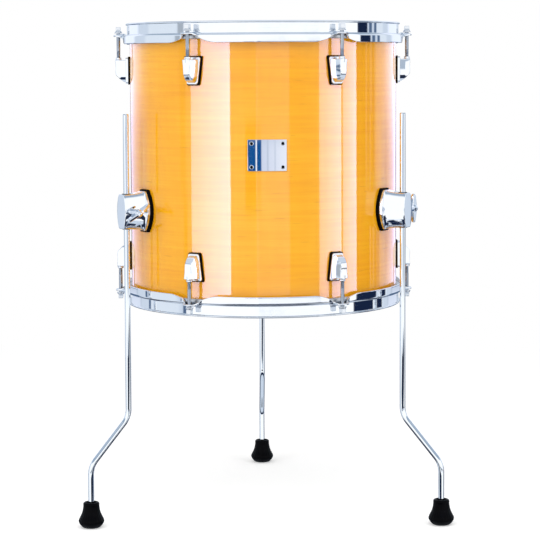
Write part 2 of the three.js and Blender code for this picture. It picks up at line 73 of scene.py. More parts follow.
def _sum(operation: str, swapped: bool = False) -> Callable[["Signal", object], "Signal"]:
    """Makes an operator that adds one Math node.

    Args:
        operation: The node's operation.
        swapped: Whether the signal is the second value.

    Returns:
        The operator, which takes a signal and a number or signal.
    """

    def apply(signal: "Signal", other: object) -> "Signal":
        """The node's result."""
        pair = (other, signal) if swapped else (signal, other)
        return signal.bench.add("ShaderNodeMath", {"operation": operation}, dict(enumerate(pair)))

    return apply


@dataclass(frozen=True)
class Signal:
    """An output socket of a shader tree on which sums can be written."""

    bench: "Bench"
    socket: bpy.types.NodeSocket

    __add__ = __radd__ = _sum("ADD")
    __sub__, __rsub__ = _sum("SUBTRACT"), _sum("SUBTRACT", True)
    __mul__ = __rmul__ = _sum("MULTIPLY")
    __truediv__ = _sum("DIVIDE")
    least, most = _sum("MINIMUM"), _sum("MAXIMUM")

    def step(self, low: float, high: float) -> "Signal":
        """Smooth rise from 0 at a low value to 1 at a high one."""
        settings = {"interpolation_type": "SMOOTHSTEP", "clamp": True}
        sockets = {"Value": self, "From Min": low, "From Max": high}
        return self.bench.add("ShaderNodeMapRange", settings, sockets)

    def out(self, name: str) -> "Signal":
        """Another output of the same node."""
        return Signal(self.bench, self.socket.node.outputs[name])


class Bench:
    """Node tree under construction."""

    def __init__(self, tree: bpy.types.NodeTree) -> None:
        """Clears the tree and keeps it."""
        self.tree = tree
        tree.nodes.clear()

    def add(
        self, kind: str, settings: Mapping[str, object] | None = None, sockets: Sockets | None = None,
        output: str = "",
    ) -> Signal:
        """Adds one node, sets it up and feeds its sockets.

        Args:
            kind: The node's type.
            settings: Properties of the node, set first.
            sockets: Values or signals by socket name or number.
            output: Name of the output to return, else the first one that is enabled.

        Returns:
            The chosen output.
        """
        node = self.tree.nodes.new(kind)
        for name, value in (settings or {}).items():
            setattr(node, name, value)
        for key, value in (sockets or {}).items():
            if isinstance(value, Signal):
                self.tree.links.new(value.socket, node.inputs[key])
            else:
                node.inputs[key].default_value = value
        live = [socket for socket in node.outputs if socket.enabled] or node.inputs
        return Signal(self, node.outputs[output] if output else live[0])

    @cached_property
    def spot(self) -> Signal:
        """Object coordinates counted from the drum's axis, in metres."""
        raw = self.add("ShaderNodeTexCoord", output="Object")
        return self.add("ShaderNodeMapping", None, {"Vector": raw, "Location": (0, -AXIS_Y * METRES, 0)})

    def noise(self, scale: float | Colour, detail: float = 3.0, rough: float = 0.5) -> Signal:
        """Noise with values about 0.5.

        Args:
            scale: Grains to the metre, alike every way or axis by axis.
            detail: Octaves.
            rough: Weight of the finer octaves.

        Returns:
            The noise value.
        """
        spot = self.spot
        if isinstance(scale, tuple):
            spot = self.add("ShaderNodeVectorMath", {"operation": "MULTIPLY"}, {0: spot, 1: scale})
            scale = 1.0
        sockets = {"Vector": spot, "Scale": scale, "Detail": detail, "Roughness": rough}
        return self.add("ShaderNodeTexNoise", None, sockets, "Fac")

    def blend(self, share: object, first: object, second: object) -> Signal:
        """Mixes two colours.

        Args:
            share: 0 for the first colour, 1 for the second.
            first: A colour or a signal.
            second: A colour or a signal.

        Returns:
            The mixed colour.
        """
        colours = [c if isinstance(c, Signal) else (*c, 1.0) for c in (first, second)]
        sockets = {0: share, 6: colours[0], 7: colours[1]}
        return self.add("ShaderNodeMix", {"data_type": "RGBA"}, sockets, "Result")

    def bump(self, height: Signal, distance: float, strength: float = 1.0) -> Signal:
        """Normal that follows a height of a depth in metres."""
        sockets = {"Height": height, "Distance": distance, "Strength": strength}
        return self.add("ShaderNodeBump", None, sockets)


class Paint(Bench):
    """Bench of a new material."""

    def __init__(self, name: str) -> None:
        """Starts the material."""
        self.material = bpy.data.materials.new(name)
        self.material.use_nodes = True
        super().__init__(self.material.node_tree)

    def surface(self, shader: Signal) -> Material:
        """Ends the tree with a shader."""
        self.add("ShaderNodeOutputMaterial", None, {"Surface": shader})
        return self.material

    def close(self, sockets: Sockets) -> Material:
        """Ends the tree with one Principled shader."""
        return self.surface(self.add("ShaderNodeBsdfPrincipled", None, sockets))


@dataclass(frozen=True)
class LacqueredMaple:
    """Honey stained maple ply under a thick clear lacquer, its grain running round the shell."""

    pale: Colour = (0.95, 0.462, 0.010)
    honey: Colour = (0.93, 0.412, 0.005)
    deep: Colour = (0.89, 0.362, 0.004)
    fleck: Colour = (0.60, 0.21, 0.003)
    coat_roughness: float = 0.022
    coat_ior: float = 1.5

    def build(self) -> Material:
        """Stain, grain, curl and flecks under the coat.

        Returns:
            The material.
        """
        bench = Paint("lacquered_maple")
        grain = bench.noise((9, 9, 300), 6.0, 0.62)
        broad = bench.noise((3.2, 3.2, 13))
        curl = bench.noise((85, 85, 11), 2.0)
        specks = bench.noise((36, 36, 640), 2.0, 0.4)
        depth = grain.step(0.3, 0.72) * 0.62 + broad.step(0.3, 0.7) * 0.5 + curl.step(0.3, 0.75) * 0.16
        base = bench.blend(depth.step(0.1, 0.75), self.deep, self.honey)
        lit = bench.blend(depth.step(0.62, 1.2), base, self.pale)
        return bench.close({
            "Base Color": bench.blend(specks.step(0.66, 0.78) * 0.5, lit, self.fleck),
            "Roughness": 0.42 - grain * 0.1,
            "Specular IOR Level": 0.05,
            "Coat Weight": 1.0,
            "Coat Roughness": self.coat_roughness,
            "Coat IOR": self.coat_ior,
            "Normal": bench.bump(grain, 0.00004, 0.5),
        })


@dataclass(frozen=True)
class BareMaple:
    """Sanded maple of the inside wall and the bearing edges, sealed but not stained."""

    pale: Colour = (0.72, 0.52, 0.30)
    dark: Colour = (0.55, 0.35, 0.17)

    def build(self) -> Material:
        """Grain round the wall with open pores.

        Returns:
            The material.
        """
        bench = Paint("bare_maple")
        grain = bench.noise((10, 10, 340), 6.0, 0.6)
        return bench.close({
            "Base Color": bench.blend(grain.step(0.3, 0.7), self.dark, self.pale),
            "Roughness": 0.62 - grain * 0.15,
            "Normal": bench.bump(grain, 0.00012, 0.6),
        })


@dataclass(frozen=True)
class Chrome:
    """Plated metal: a tint, a polish, the ripple of the metal below and fine wipe marks."""

    name: str
    tint: Colour = (0.84, 0.87, 0.91)
    polish: float = 0.035
    wear: float = 0.05
    ripple: float = 0.0
    ripple_scale: float = 60.0
    streaks: Colour = (120.0, 120.0, 120.0)
    hazy: Colour = (0.76, 0.80, 0.86)

    def build(self) -> Material:
        """Clean plate with a faint haze and ripple.

        Returns:
            The material.
        """
        bench = Paint(self.name)
        haze = bench.noise(38.0, 4.0, 0.6)
        wipes = bench.noise(self.streaks, 3.0, 0.55)
        rough = self.polish + haze.step(0.45, 0.8) * self.wear * 0.6 + wipes.step(0.5, 0.85) * self.wear
        sockets: dict[str | int, object] = {
            "Base Color": bench.blend(haze.step(0.3, 0.8) * 0.35, self.tint, self.hazy),
            "Metallic": 1.0,
            "Roughness": rough,
        }
        if self.ripple > 0:
            sockets["Normal"] = bench.bump(bench.noise(self.ripple_scale, 1.0, 0.4), self.ripple)
        return bench.close(sockets)


@dataclass(frozen=True)
class Rubber:
    """Moulded black rubber with a fine matt grain."""

    name: str
    tone: Colour = (0.002, 0.002, 0.003)
    grain: float = 900.0
    roughness: float = 0.5
    shine: float = 0.04
    dusty: Colour = (0.004, 0.004, 0.006)

    def build(self) -> Material:
        """Grained skin, a little greyer where it is rubbed.

        Returns:
            The material.
        """
        bench = Paint(self.name)
        skin = bench.noise(self.grain, 3.0, 0.6)
        dust = bench.noise(55.0, 4.0, 0.6)
        return bench.close({
            "Base Color": bench.blend(dust.step(0.5, 0.85) * 0.4, self.tone, self.dusty),
            "Roughness": self.roughness + skin * 0.16,
            "Specular IOR Level": self.shine,
            "Normal": bench.bump(skin, 0.00012, 0.5),
        })


@dataclass(frozen=True)
class CoatedFilm:
    """Polyester drum film with a sprayed white coat."""

    tone: Colour = (0.83, 0.83, 0.80)
    shade: Colour = (0.74, 0.735, 0.70)

    def build(self) -> Material:
        """Speckled spray with faint cloudy thickness.

        Returns:
            The material.
        """
        bench = Paint("drum_film")
        spray = bench.noise(1500.0, 2.0, 0.6)
        cloud = bench.noise(17.0, 4.0, 0.55)
        tint = cloud.step(0.35, 0.75) * 0.55 + spray.step(0.4, 0.7) * 0.35
        return bench.close({
            "Base Color": bench.blend(tint, self.shade, self.tone),
            "Roughness": 0.58 + spray * 0.2,
            "Normal": bench.bump(spray, 0.00009, 0.7),
        })


@dataclass(frozen=True)
class SpunAluminium:
    """Rolled aluminium of the flesh hoops, with the tool marks running round."""

    tone: Colour = (0.66, 0.68, 0.70)
    shade: Colour = (0.52, 0.54, 0.57)

    def build(self) -> Material:
        """Brushed ring.

        Returns:
            The material.
        """
        bench = Paint("flesh_hoop_aluminium")
        marks = bench.noise((30, 30, 2600), 3.0, 0.6)
        return bench.close({
            "Base Color": bench.blend(marks.step(0.3, 0.7), self.shade, self.tone),
            "Metallic": 1.0,
            "Roughness": 0.24 + marks * 0.16,
        })


Finish = LacqueredMaple | BareMaple | Chrome | Rubber | CoatedFilm | SpunAluminium


class Slot(Enum):
    """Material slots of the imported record."""

    LACQUER = "lacquered_maple"
    PLATE = "badge_chrome"
    HOOP = "hoop_chrome"
    CAST = "cast_chrome"
    ROD = "rod_chrome"
    LEG = "leg_chrome"
    FILM = "drum_film"
    GASKET = "gasket_rubber"
    FOOT = "foot_rubber"
    BUSH = "bush_nylon"


FINISHES: Mapping[Slot, Finish] = {
    Slot.LACQUER: LacqueredMaple(),
    Slot.PLATE: Chrome("badge_chrome", (0.82, 0.85, 0.90), 0.03, 0.03, streaks=(1500, 30, 30)),
    Slot.HOOP: Chrome("hoop_chrome", streaks=(20, 20, 900), ripple=0.00003, ripple_scale=30),
    Slot.CAST: Chrome("cast_chrome", ripple=0.00008, ripple_scale=80, wear=0.03),
    Slot.ROD: Chrome("rod_chrome", (0.72, 0.75, 0.79), 0.07, 0.08),
    Slot.LEG: Chrome("leg_chrome", (0.82, 0.86, 0.90), 0.03, 0.04, streaks=(600, 600, 20)),
    Slot.FILM: CoatedFilm(),
    Slot.GASKET: Rubber("gasket_rubber"),
    Slot.FOOT: Rubber("foot_rubber", (0.0012, 0.0012, 0.002), 700.0, 0.3, 0.05),
    Slot.BUSH: Rubber("bush_nylon", (0.022, 0.022, 0.025), 500.0, 0.36, 0.3),
}
# Darker, rougher copy of the rod chrome for the shank and thread below the washer; its dark tint is painted
# shade.
ROD_SHANK_PAINTED_SHADE = Chrome("rod_shank_painted_shade", (0.33, 0.37, 0.43), 0.16, 0.1)
# Black rubber for the rivets' shallow bores: painted shade standing for the depth of the hole.
RIVET_BORE_PAINTED_SHADE = Rubber("rivet_bore_painted_shade")


@cache
def material(finish: Finish) -> Material:
    """The material of a finish, built the first time that it is asked for."""
    return finish.build()


def linked(name: str, data: bpy.types.ID) -> Thing:
    """New object in the scene."""
    thing = bpy.data.objects.new(name, data)
    bpy.context.scene.collection.objects.link(thing)
    return thing


@dataclass(frozen=True)
class Station:
    """Place on the drum: azimuth from the front, distance out, height, and which way up."""

    azimuth: float = 0.0
    out: float = 0.0
    height: float = 0.0
    inverted: bool = False

    def matrix(self) -> Matrix:
        """Transform from the station's millimetres to the drum's frame in metres.

        Returns:
            The matrix.
        """
        turn = Matrix.Rotation(math.radians(self.azimuth), 4, "Z")
        flip = Matrix.Rotation(math.pi if self.inverted else 0.0, 4, "Y")
        lift = Matrix.Translation((0, 0, self.height))
        reach = Matrix.Translation((0, -self.out, 0))
        return Matrix.Scale(METRES, 4) @ Matrix.Translation((0, AXIS_Y, 0)) @ turn @ lift @ flip @ reach


def mirrored(half: Sequence[Corner], upward: bool = False) -> list[Corner]:
    """Corners of one half and their mirror images, across or upward, in one round."""
    side, rise = (1, -1) if upward else (-1, 1)
    return [*half, *((x * side, z * rise, fillet) for x, z, fillet in reversed(half))]


def eased(value: float, low: float, high: float) -> float:
    """Smooth rise from 0 at one value to 1 at another."""
    share = min(max((value - low) / (high - low), 0.0), 1.0)
    return share * share * (3 - 2 * share)


def between(table: Table, value: float, straight: bool = False) -> float:
    """Value from a table of points in rising order.

    Args:
        table: The points.
        value: Where it is read.
        straight: Whether straight lines join the points, else eased curves do.

    Returns:
        The value there.
    """
    if value <= table[0][0]:
        return table[0][1]
    for (x0, y0), (x1, y1) in zip(table, table[1:]):
        if value <= x1:
            return y0 + (y1 - y0) * ((value - x0) / (x1 - x0) if straight else eased(value, x0, x1))
    return table[-1][1]


def rounded(corners: Sequence[Corner], steps: int, most: float = 0.45) -> list[tuple[float, float]]:
    """Closed outline with every corner rounded by the same number of points.

    Args:
        corners: Across, along and rounding of each corner.
        steps: Points that each corner gets.
        most: Largest share of a side that a rounding takes.

    Returns:
        The points in the order of the corners.
    """
    points = []
    for index, (x, y, rounding) in enumerate(corners):
        corner = Vector((x, y))
        back = Vector(corners[index - 1][:2]) - corner
        onward = Vector(corners[(index + 1) % len(corners)][:2]) - corner
        reach = min(rounding, back.length * most, onward.length * most)
        start, end = corner + back.normalized() * reach, corner + onward.normalized() * reach
        for step in range(steps):
            share = step / (steps - 1)
            points.append(tuple(start.lerp(corner, share).lerp(corner.lerp(end, share), share)))
    return points


class Workpiece:
    """A mesh on the bench, in millimetres, shaped by mesh operators. Each step returns it again."""

    def __init__(self) -> None:
        """Starts with an empty mesh."""
        self.bm = bmesh.new()

    def profile(self, corners: Sequence[Corner], closed: bool = True, segments: int = 4) -> "Workpiece":
        """Draws a wire profile in the XZ plane and rounds its corners.

        Args:
            corners: Radius or across, height, and fillet of each corner.
            closed: Whether the last corner joins the first.
            segments: Steps of each fillet.

        Returns:
            The workpiece.
        """
        made = [self.bm.verts.new((x, 0, z)) for x, z, _ in corners]
        for pair in list(zip(made, made[1:] + made[:1]))[:None if closed else -1]:
            self.bm.edges.new(pair)
        by_fillet: dict[float, list[bmesh.types.BMVert]] = {}
        for vert, (_, _, fillet) in zip(made, corners):
            if fillet > 0:
                by_fillet.setdefault(fillet, []).append(vert)
        for fillet, verts in by_fillet.items():
            self._bevel(verts, fillet, segments, "VERTICES")
        return self

    def _bevel(self, geom: Sequence, offset: float, segments: int, affect: str) -> None:
        """Bevels vertices or edges by one offset.

        Args:
            geom: The vertices or edges.
            offset: Width of the bevel.
            segments: Its steps.
            affect: VERTICES or EDGES.
        """
        bmesh.ops.bevel(
            self.bm, geom=geom, offset=offset, offset_type="OFFSET", segments=segments,
            profile=0.5, affect=affect, clamp_overlap=False, material=-1,
        )

    def spin(self, steps: int, angle: float = FULL_TURN) -> "Workpiece":
        """Turns everything about the Z axis.

        Args:
            steps: Facets of the turn.
            angle: How far it turns.

        Returns:
            The workpiece.
        """
        bmesh.ops.spin(
            self.bm, geom=self._everything(), cent=(0, 0, 0), axis=(0, 0, 1), angle=angle, steps=steps,
            use_merge=angle == FULL_TURN, use_duplicate=False,
        )
        return self.tidy()

    def _everything(self) -> list:
        """All its vertices, edges and faces."""
        return self.bm.verts[:] + self.bm.edges[:] + self.bm.faces[:]

    def tidy(self) -> "Workpiece":
        """Merges doubles and turns the faces outward.

        Returns:
            The workpiece.
        """
        bmesh.ops.remove_doubles(self.bm, verts=self.bm.verts[:], dist=WELD)
        bmesh.ops.dissolve_degenerate(self.bm, edges=self.bm.edges[:], dist=WELD)
        bmesh.ops.recalc_face_normals(self.bm, faces=self.bm.faces[:])
        return self

    def plate(self, corners: Sequence[Corner], near: float, far: float, segments: int = 4) -> "Workpiece":
        """Makes a plate of an outline in the XZ plane, from one distance outward to another.

        Args:
            corners: Across, height and fillet of each corner.
            near: Distance of its back.
            far: Distance of its face.
            segments: Steps of each fillet.

        Returns:
            The workpiece.
        """
        self.profile(corners, True, segments)
        bmesh.ops.contextual_create(self.bm, geom=self.bm.edges[:])
        self.move((0, -near, 0))
        grown = bmesh.ops.extrude_face_region(self.bm, geom=self.bm.faces[:])
        fresh = [item for item in grown["geom"] if isinstance(item, bmesh.types.BMVert)]
        bmesh.ops.translate(self.bm, verts=fresh, vec=(0, near - far, 0))
        return self.tidy()

    def rings(self, rings: Sequence[Sequence[Vector]]) -> "Workpiece":
        """Extrudes a closed loop ring by ring and closes both ends.

        Args:
            rings: The loops, with equal point counts.

        Returns:
            The workpiece.
        """
        order = [self.bm.verts.new(point) for point in rings[0]]
        edges = [self.bm.edges.new(pair) for pair in zip(order, order[1:] + order[:1])]
        bmesh.ops.edgeloop_fill(self.bm, edges=edges)
        for ring in rings[1:]:
            grown = bmesh.ops.extrude_edge_only(self.bm, edges=edges)["geom"]
            old = set(order)
            edges = [item for item in grown if isinstance(item, bmesh.types.BMEdge)]
            edges = [edge for edge in edges if old.isdisjoint(edge.verts)]
            follow = {}
            for vert in {vert for edge in edges for vert in edge.verts}:
                ends = [edge.other_vert(vert) for edge in vert.link_edges]
                follow[next(end for end in ends if end in old)] = vert
            order = [follow[vert] for vert in order]
            for vert, point in zip(order, ring):
                vert.co = point
        bmesh.ops.edgeloop_fill(self.bm, edges=edges)
        return self.tidy()

    def move(self, offset: Sequence[float]) -> "Workpiece":
        """Shifts everything."""
        bmesh.ops.translate(self.bm, verts=self.bm.verts[:], vec=offset)
        return self

    def turn(self, degrees: float, axis: str) -> "Workpiece":
        """Turns everything about an axis through the origin."""
        turn = Matrix.Rotation(math.radians(degrees), 3, axis)
        bmesh.ops.rotate(self.bm, verts=self.bm.verts[:], cent=(0, 0, 0), matrix=turn)
        return self

    def shape(self, rule: Callable[[Vector], Vector]) -> "Workpiece":
        """Moves every vertex by a rule of its place."""
        for vert in self.bm.verts:
            vert.co = rule(vert.co.copy())
        return self

    def sliced(self, axis: int, places: Iterable[float]) -> "Workpiece":
        """Cuts the faces along planes without parting them.

        Args:
            axis: 0, 1 or 2 for planes across X, Y or Z.
            places: Where the planes stand.

        Returns:
            The workpiece.
        """
        normal = Vector((0, 0, 0))
        normal[axis] = 1
        for place in places:
            bmesh.ops.bisect_plane(
                self.bm, geom=self._everything(), dist=WELD, plane_co=normal * place, plane_no=normal
            )
        return self

    def hug(self, places: Iterable[float], near: float, far: float | None = None) -> "Workpiece":
        """Bends a plate's back, and its face where that is asked, to the shell.

        Args:
            places: Where the plate is cut so that it can bend.
            near: Distance of the back from the shell.
            far: Distance of the face from the shell, or None where it stays flat.

        Returns:
            The workpiece, with the shell's tangent plane at its origin.
        """

        def bend(point: Vector) -> Vector:
            """Puts one vertex on its cylinder.

            Args:
                point: A vertex.

            Returns:
                Its place.
            """
            distance = near if point.y > -TOUCH else far
            if distance is None:
                return point
            out = math.sqrt((SHELL_RADIUS + distance) ** 2 - point.x * point.x) - SHELL_RADIUS
            return Vector((point.x, -out, point.z))

        return self.sliced(0, places).shape(bend)

    def soften(
        self, offset: float, segments: int, face: float | None = None, angle: float = SOFT_ANGLE
    ) -> "Workpiece":
        """Rounds every edge that is sharper than an angle.

        Args:
            offset: Width of the rounding.
            segments: Its steps.
            face: Distance of the only face whose edges are rounded, or None for all edges.
            angle: Edges below this many degrees stay.

        Returns:
            The workpiece.
        """
        self._bevel([
            edge for edge in self.bm.edges
            if edge.is_manifold and edge.calc_face_angle(0.0) > math.radians(angle)
            and (face is None or all(vert.co.y < TOUCH - face for vert in edge.verts))
        ], offset, segments, "EDGES")
        return self.tidy()

    def add(self, other: "Workpiece") -> "Workpiece":
        """Adds another workpiece's closed bodies to this one.

        Args:
            other: The workpiece to copy.

        Returns:
            The workpiece.
        """
        spare = other.mesh("spare", Matrix.Identity(4))
        self.bm.from_mesh(spare)
        bpy.data.meshes.remove(spare)
        return self

    def paint(self, index: int, test: Callable[[Vector], bool]) -> "Workpiece":
        """Gives a material number to some faces.

        Args:
            index: The number.
            test: What a face's middle has to pass.

        Returns:
            The workpiece.
        """
        for face in self.bm.faces:
            if test(face.calc_center_median()):
                face.material_index = index
        return self

    def mesh(self, name: str, matrix: Matrix) -> bpy.types.Mesh:
        """Copies it to mesh data.

        Args:
            name: The mesh's name.
            matrix: What moves the copy.

        Returns:
            The mesh.
        """
        mesh = bpy.data.meshes.new(name)
        self.bm.to_mesh(mesh)
        mesh.transform(matrix)
        return mesh

    def place(
        self, name: str, station: Station, body: str, slot: Slot, replaces: Sequence[str] = (),
        crease: float = CREASE, finishes: Sequence[Finish] = (),
    ) -> Thing:
        """Writes a copy as an object at a station.

        Args:
            name: The piece's name.
            station: Where it goes.
            body: The body that it rides on.
            slot: The record's material slot.
            replaces: CAD nodes that it stands for.
            crease: Edges above this many degrees stay sharp.
            finishes: Further finishes after the slot's own.

        Returns:
            The object.
        """
        mesh = self.mesh(name, station.matrix())
        mesh.shade_smooth()
        mesh.set_sharp_from_angle(angle=math.radians(crease))
        for finish in (FINISHES[slot], *finishes):
            mesh.materials.append(material(finish))
        piece = linked(name, mesh)
        piece.modifiers.new("flat_faces", "WEIGHTED_NORMAL").keep_sharp = True
        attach(piece, body)
        if replaces:
            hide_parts(*replaces)
        return piece


def turned(corners: Sequence[Corner], steps: int, segments: int = 3) -> Workpiece:
    """Solid of revolution whose profile starts and ends on the axis, or closes on itself."""
    return Workpiece().profile(corners, corners[0][0] > 0, segments).spin(steps)


class Side(Enum):
    """The two heads of the drum."""

    BATTER = "batter"
    RESONANT = "resonant"


@dataclass
class Shell:
    """Plies bent to a tube with bearing edges, its vent and the grommet in the vent."""

    depth: float = 355.6
    wall: float = 6.5
    bottom: float = 284.8
    vent_azimuth: float = 120.0
    vent_radius: float = 5.0
    facets: int = 288
    belt: float = 12.0
    paint_depth: float = 0.9
    drill_reach: float = 20.0

    def build(self) -> None:
        """The tube, lacquered outside and bare inside, with the vent bored and its grommet."""
        inner, half = SHELL_RADIUS - self.wall, self.depth / 2
        tube = Workpiece().profile(mirrored([
            (inner, PEAK_RADIUS - inner - half, 0.6),
            (PEAK_RADIUS, -half, 0.7),
            (SHELL_RADIUS, SHELL_RADIUS - PEAK_RADIUS - half, 0.8),
        ], True)).spin(self.facets).sliced(2, (-self.belt, self.belt))
        tube.paint(1, lambda middle: math.hypot(*middle.xy) < SHELL_RADIUS - self.paint_depth)
        middle = Station(height=self.bottom + half)
        shell = tube.place("shell_wood", middle, "drum", Slot.LACQUER, ["shell"], 50, [BareMaple()])
        self._bore(shell)
        self._grommet()

    def _vent(self, out: float) -> Station:
        """The vent's station at a distance from the drum's axis."""
        return Station(self.vent_azimuth, out, self.bottom + self.depth / 2)

    def _bore(self, shell: Thing) -> None:
        """Cuts the vent through the wall.

        Args:
            shell: The shell, whose mesh is replaced.
        """
        bit = mirrored([(0, -self.drill_reach, 0), (self.vent_radius, -self.drill_reach, 0)], True)
        place = self._vent(SHELL_RADIUS - self.wall / 2).matrix()
        cutter = linked("vent_drill", turned(bit, 32).turn(90, "X").mesh("vent_drill", place))
        cut = shell.modifiers.new("vent", "BOOLEAN")
        cut.object, cut.operation, cut.solver = cutter, "DIFFERENCE", "EXACT"
        graph = bpy.context.evaluated_depsgraph_get()
        bored = bpy.data.meshes.new_from_object(shell.evaluated_get(graph), depsgraph=graph)
        shell.modifiers.clear()
        shell.data = bored
        bpy.data.objects.remove(cutter)

    def _grommet(self) -> None:
        """Turned eyelet that lines the vent."""
        rim, bore, flange = self.vent_radius - 0.2, self.vent_radius - 1.3, self.vent_radius + 4.2
        back = -self.wall - 0.1
        turned([
            (bore, back - 0.7, 0), (rim + 2.2, back - 0.7, 0.4), (rim + 2.2, back, 0.2), (rim, back, 0),
            (rim, 0.1, 0), (flange, 0.35, 0.15), (flange - 0.6, 1.1, 0.5), (bore + 0.9, 1.9, 0.7),
            (bore, 0.6, 0.5),
        ], 48).turn(90, "X").place("vent_grommet", self._vent(SHELL_RADIUS), "drum", Slot.CAST)


@dataclass
class Head:
    """Film pulled over the bearing edge and held in an aluminium flesh hoop."""

    collar: float = 178.1
    film: float = 0.5
    flesh_outer: float = 183.9
    flesh_top: float = -9.1
    flesh_bottom: float = -14.1
    lift: float = 0.3
    facets: int = 192

    def build(self, side: Side, edge: float) -> None:
        """Film and flesh hoop of one side.

        Args:
            side: Which head.
            edge: Height of its bearing edge.
        """
        station = Station(height=edge, inverted=side is Side.RESONANT)
        node = f"{side.value}_head"
        low, high, outer = self.lift, self.lift + self.film, self.collar + self.film
        drop, hem = low - (self.collar - PEAK_RADIUS), self.flesh_top - 1.5
        film = turned([
            (0, low, 0), (PEAK_RADIUS, low, 1.0), (self.collar, drop, 0.8), (self.collar, hem, 0),
            (outer, hem, 0), (outer, drop + 0.3, 1.0), (PEAK_RADIUS + 0.3, high, 1.4), (0, high, 0),
        ], self.facets, 4)
        film.place(f"{side.value}_film", station, "drum", Slot.FILM, [node], 60)
        flesh = turned([
            (self.collar + 0.02, self.flesh_bottom, 0.9), (self.flesh_outer, self.flesh_bottom, 1.3),
            (self.flesh_outer, self.flesh_top, 1.0), (self.collar + 0.02, self.flesh_top, 0.6),
        ], self.facets, 4)
        ring = flesh.place(f"{side.value}_flesh_hoop", station, "drum", Slot.FILM, [node])
        ring.data.materials[0] = material(SpunAluminium())


@dataclass
class Hoop:
    """Triple flanged hoop rolled from one sheet: lip, band, step, skirt, and six arched ears."""

    band_inner: float = 179.0
    band_outer: float = 181.3
    lip_radius: float = 183.0
    sheet: float = 2.3
    rise: float = 8.5
    step_top: float = -6.5
    bend_start: float = 2.0
    bend_radius: float = 2.15
    skirt_drop: float = 12.3
    ear_radius: float = 199.5
    ear_crown: float = 2.1
    ear_root: float = 15.0
    ear_tip: float = 7.2
    ear_rounding: float = 1.9
    ear_slope: float = 8.0
    ear_sides: tuple[float, float] = (7.6, 14.2)
    crown_width: float = 16.5
    scallop_start: float = 6.0
    scallop_end: float = 35.0
    scallop_fall: float = 1.75
    blend: float = 1.6
    crowding: tuple[float, float] = (0.38, 1.4)
    girth_radius: float = 186.0
    steps: int = 480
    flange_cuts: int = 15
    first: float = 30.0
    count: int = 6

    def _sheet_length(self, across: float) -> float:
        """How far the sheet runs past the band at a distance from the ear's middle.

        Args:
            across: Distance along the hoop from the ear's middle.

        Returns:
            Length of the sheet along its middle.
        """
        shoulder = self.bend_start + self.bend_radius * math.pi / 2
        share = min(max((across - self.scallop_start) / (self.scallop_end - self.scallop_start), 0.0), 1.0)
        straight = self.skirt_drop - self.bend_radius - self.sheet / 2
        skirt_length = shoulder + straight * (1 - (1 - share) ** self.scallop_fall)
        reach = self.ear_radius - self.band_outer
        side = reach - reach / (self.ear_root - self.ear_tip) * max(across - self.ear_tip, 0.0)
        rounding = self.ear_rounding * eased(across, self.ear_tip - 5.5, self.ear_tip + 1.0)
        ear_length = min(reach, side) - rounding
        gap, blend = ear_length - skirt_length, self.blend
        if abs(gap) > blend:
            return max(ear_length, skirt_length)
        share = (gap + blend) / (2 * blend)
        return skirt_length + gap * share + blend * share * (1 - share) * 0.5

    def _rolled(self, along: float, lift: float, across: float) -> tuple[float, float]:
        """Where a point of the flat sheet ends up.

        Args:
            along: Distance past the band along the sheet's middle.
            lift: Height above the sheet's middle.
            across: Distance along the hoop from the ear's middle.

        Returns:
            Distance past the band and height from the step's middle.
        """
        turn = math.radians(self.ear_slope + (90.0 - self.ear_slope) * eased(across, *self.ear_sides))
        bend, start = self.bend_radius * math.pi / 2, self.bend_start
        angle = min(max(along - start, 0.0), bend) / bend * turn
        rest = max(along - start - bend, 0.0)
        out = min(along, start) + bend / turn * math.sin(angle) + rest * math.cos(angle)
        down = bend / turn * (1 - math.cos(angle)) + rest * math.sin(angle)
        return out + lift * math.sin(angle), lift * math.cos(angle) - down

    def _form(self, point: Vector) -> Vector:
        """Rolls the flat flange of the spun hoop into ears, scallops and skirt.

        Args:
            point: A vertex of the spun hoop.

        Returns:
            Its place, with the facets crowded toward the ears.
        """
        radius, height = math.hypot(point.x, point.y), point.z
        azimuth = math.atan2(point.x, -point.y)
        pitch, first = FULL_TURN / self.count, math.radians(self.first)
        middle = first + round((azimuth - first) / pitch) * pitch
        local = (azimuth - middle) / (pitch / 2)
        closest, power = self.crowding
        local = local * (closest + (1 - closest) * abs(local) ** power)
        azimuth = middle + local * pitch / 2
        across = abs(local) * pitch / 2 * self.girth_radius
        if radius > self.band_outer and height < self.step_top + TOUCH:
            mid = self.step_top - self.sheet / 2
            flat = self.ear_radius - self.band_outer
            along = (radius - self.band_outer) / flat * self._sheet_length(across)
            out, rise = self._rolled(along, height - mid, across)
            arch = self.ear_crown * eased(self.crown_width - across, 0.0, 12.0) * eased(along, -0.5, 4.0)
            radius, height = self.band_outer + out, mid + rise + arch
        return Vector((radius * math.sin(azimuth), -radius * math.cos(azimuth), height))

    def build(self, side: Side, edge: float) -> None:
        """One hoop.

        Args:
            side: Which hoop.
            edge: Height of its bearing edge.
        """
        bottom, under = self.step_top - self.sheet, self.rise - self.sheet
        blank = Workpiece().profile([
            (self.band_inner, bottom, 0.7), (self.ear_radius, bottom, 0.95),
            (self.ear_radius, self.step_top, 0.95), (self.band_outer, self.step_top, 0.0),
            (self.band_outer, under, 0.5), (self.lip_radius, under, 0.9),
            (self.lip_radius, self.rise, 1.1), (self.band_inner, self.rise, 1.1),
        ])
        flanges = [
            edge for edge in blank.bm.edges
            if edge.calc_length() > 12 and abs(edge.verts[0].co.z - edge.verts[1].co.z) < TOUCH
        ]
        bmesh.ops.subdivide_edges(blank.bm, edges=flanges, cuts=self.flange_cuts)
        blank.spin(self.steps).shape(self._form).tidy()
        station = Station(height=edge, inverted=side is Side.RESONANT)
        blank.place(f"{side.value}_hoop_steel", station, "drum", Slot.HOOP, [f"{side.value}_hoop"], 45)


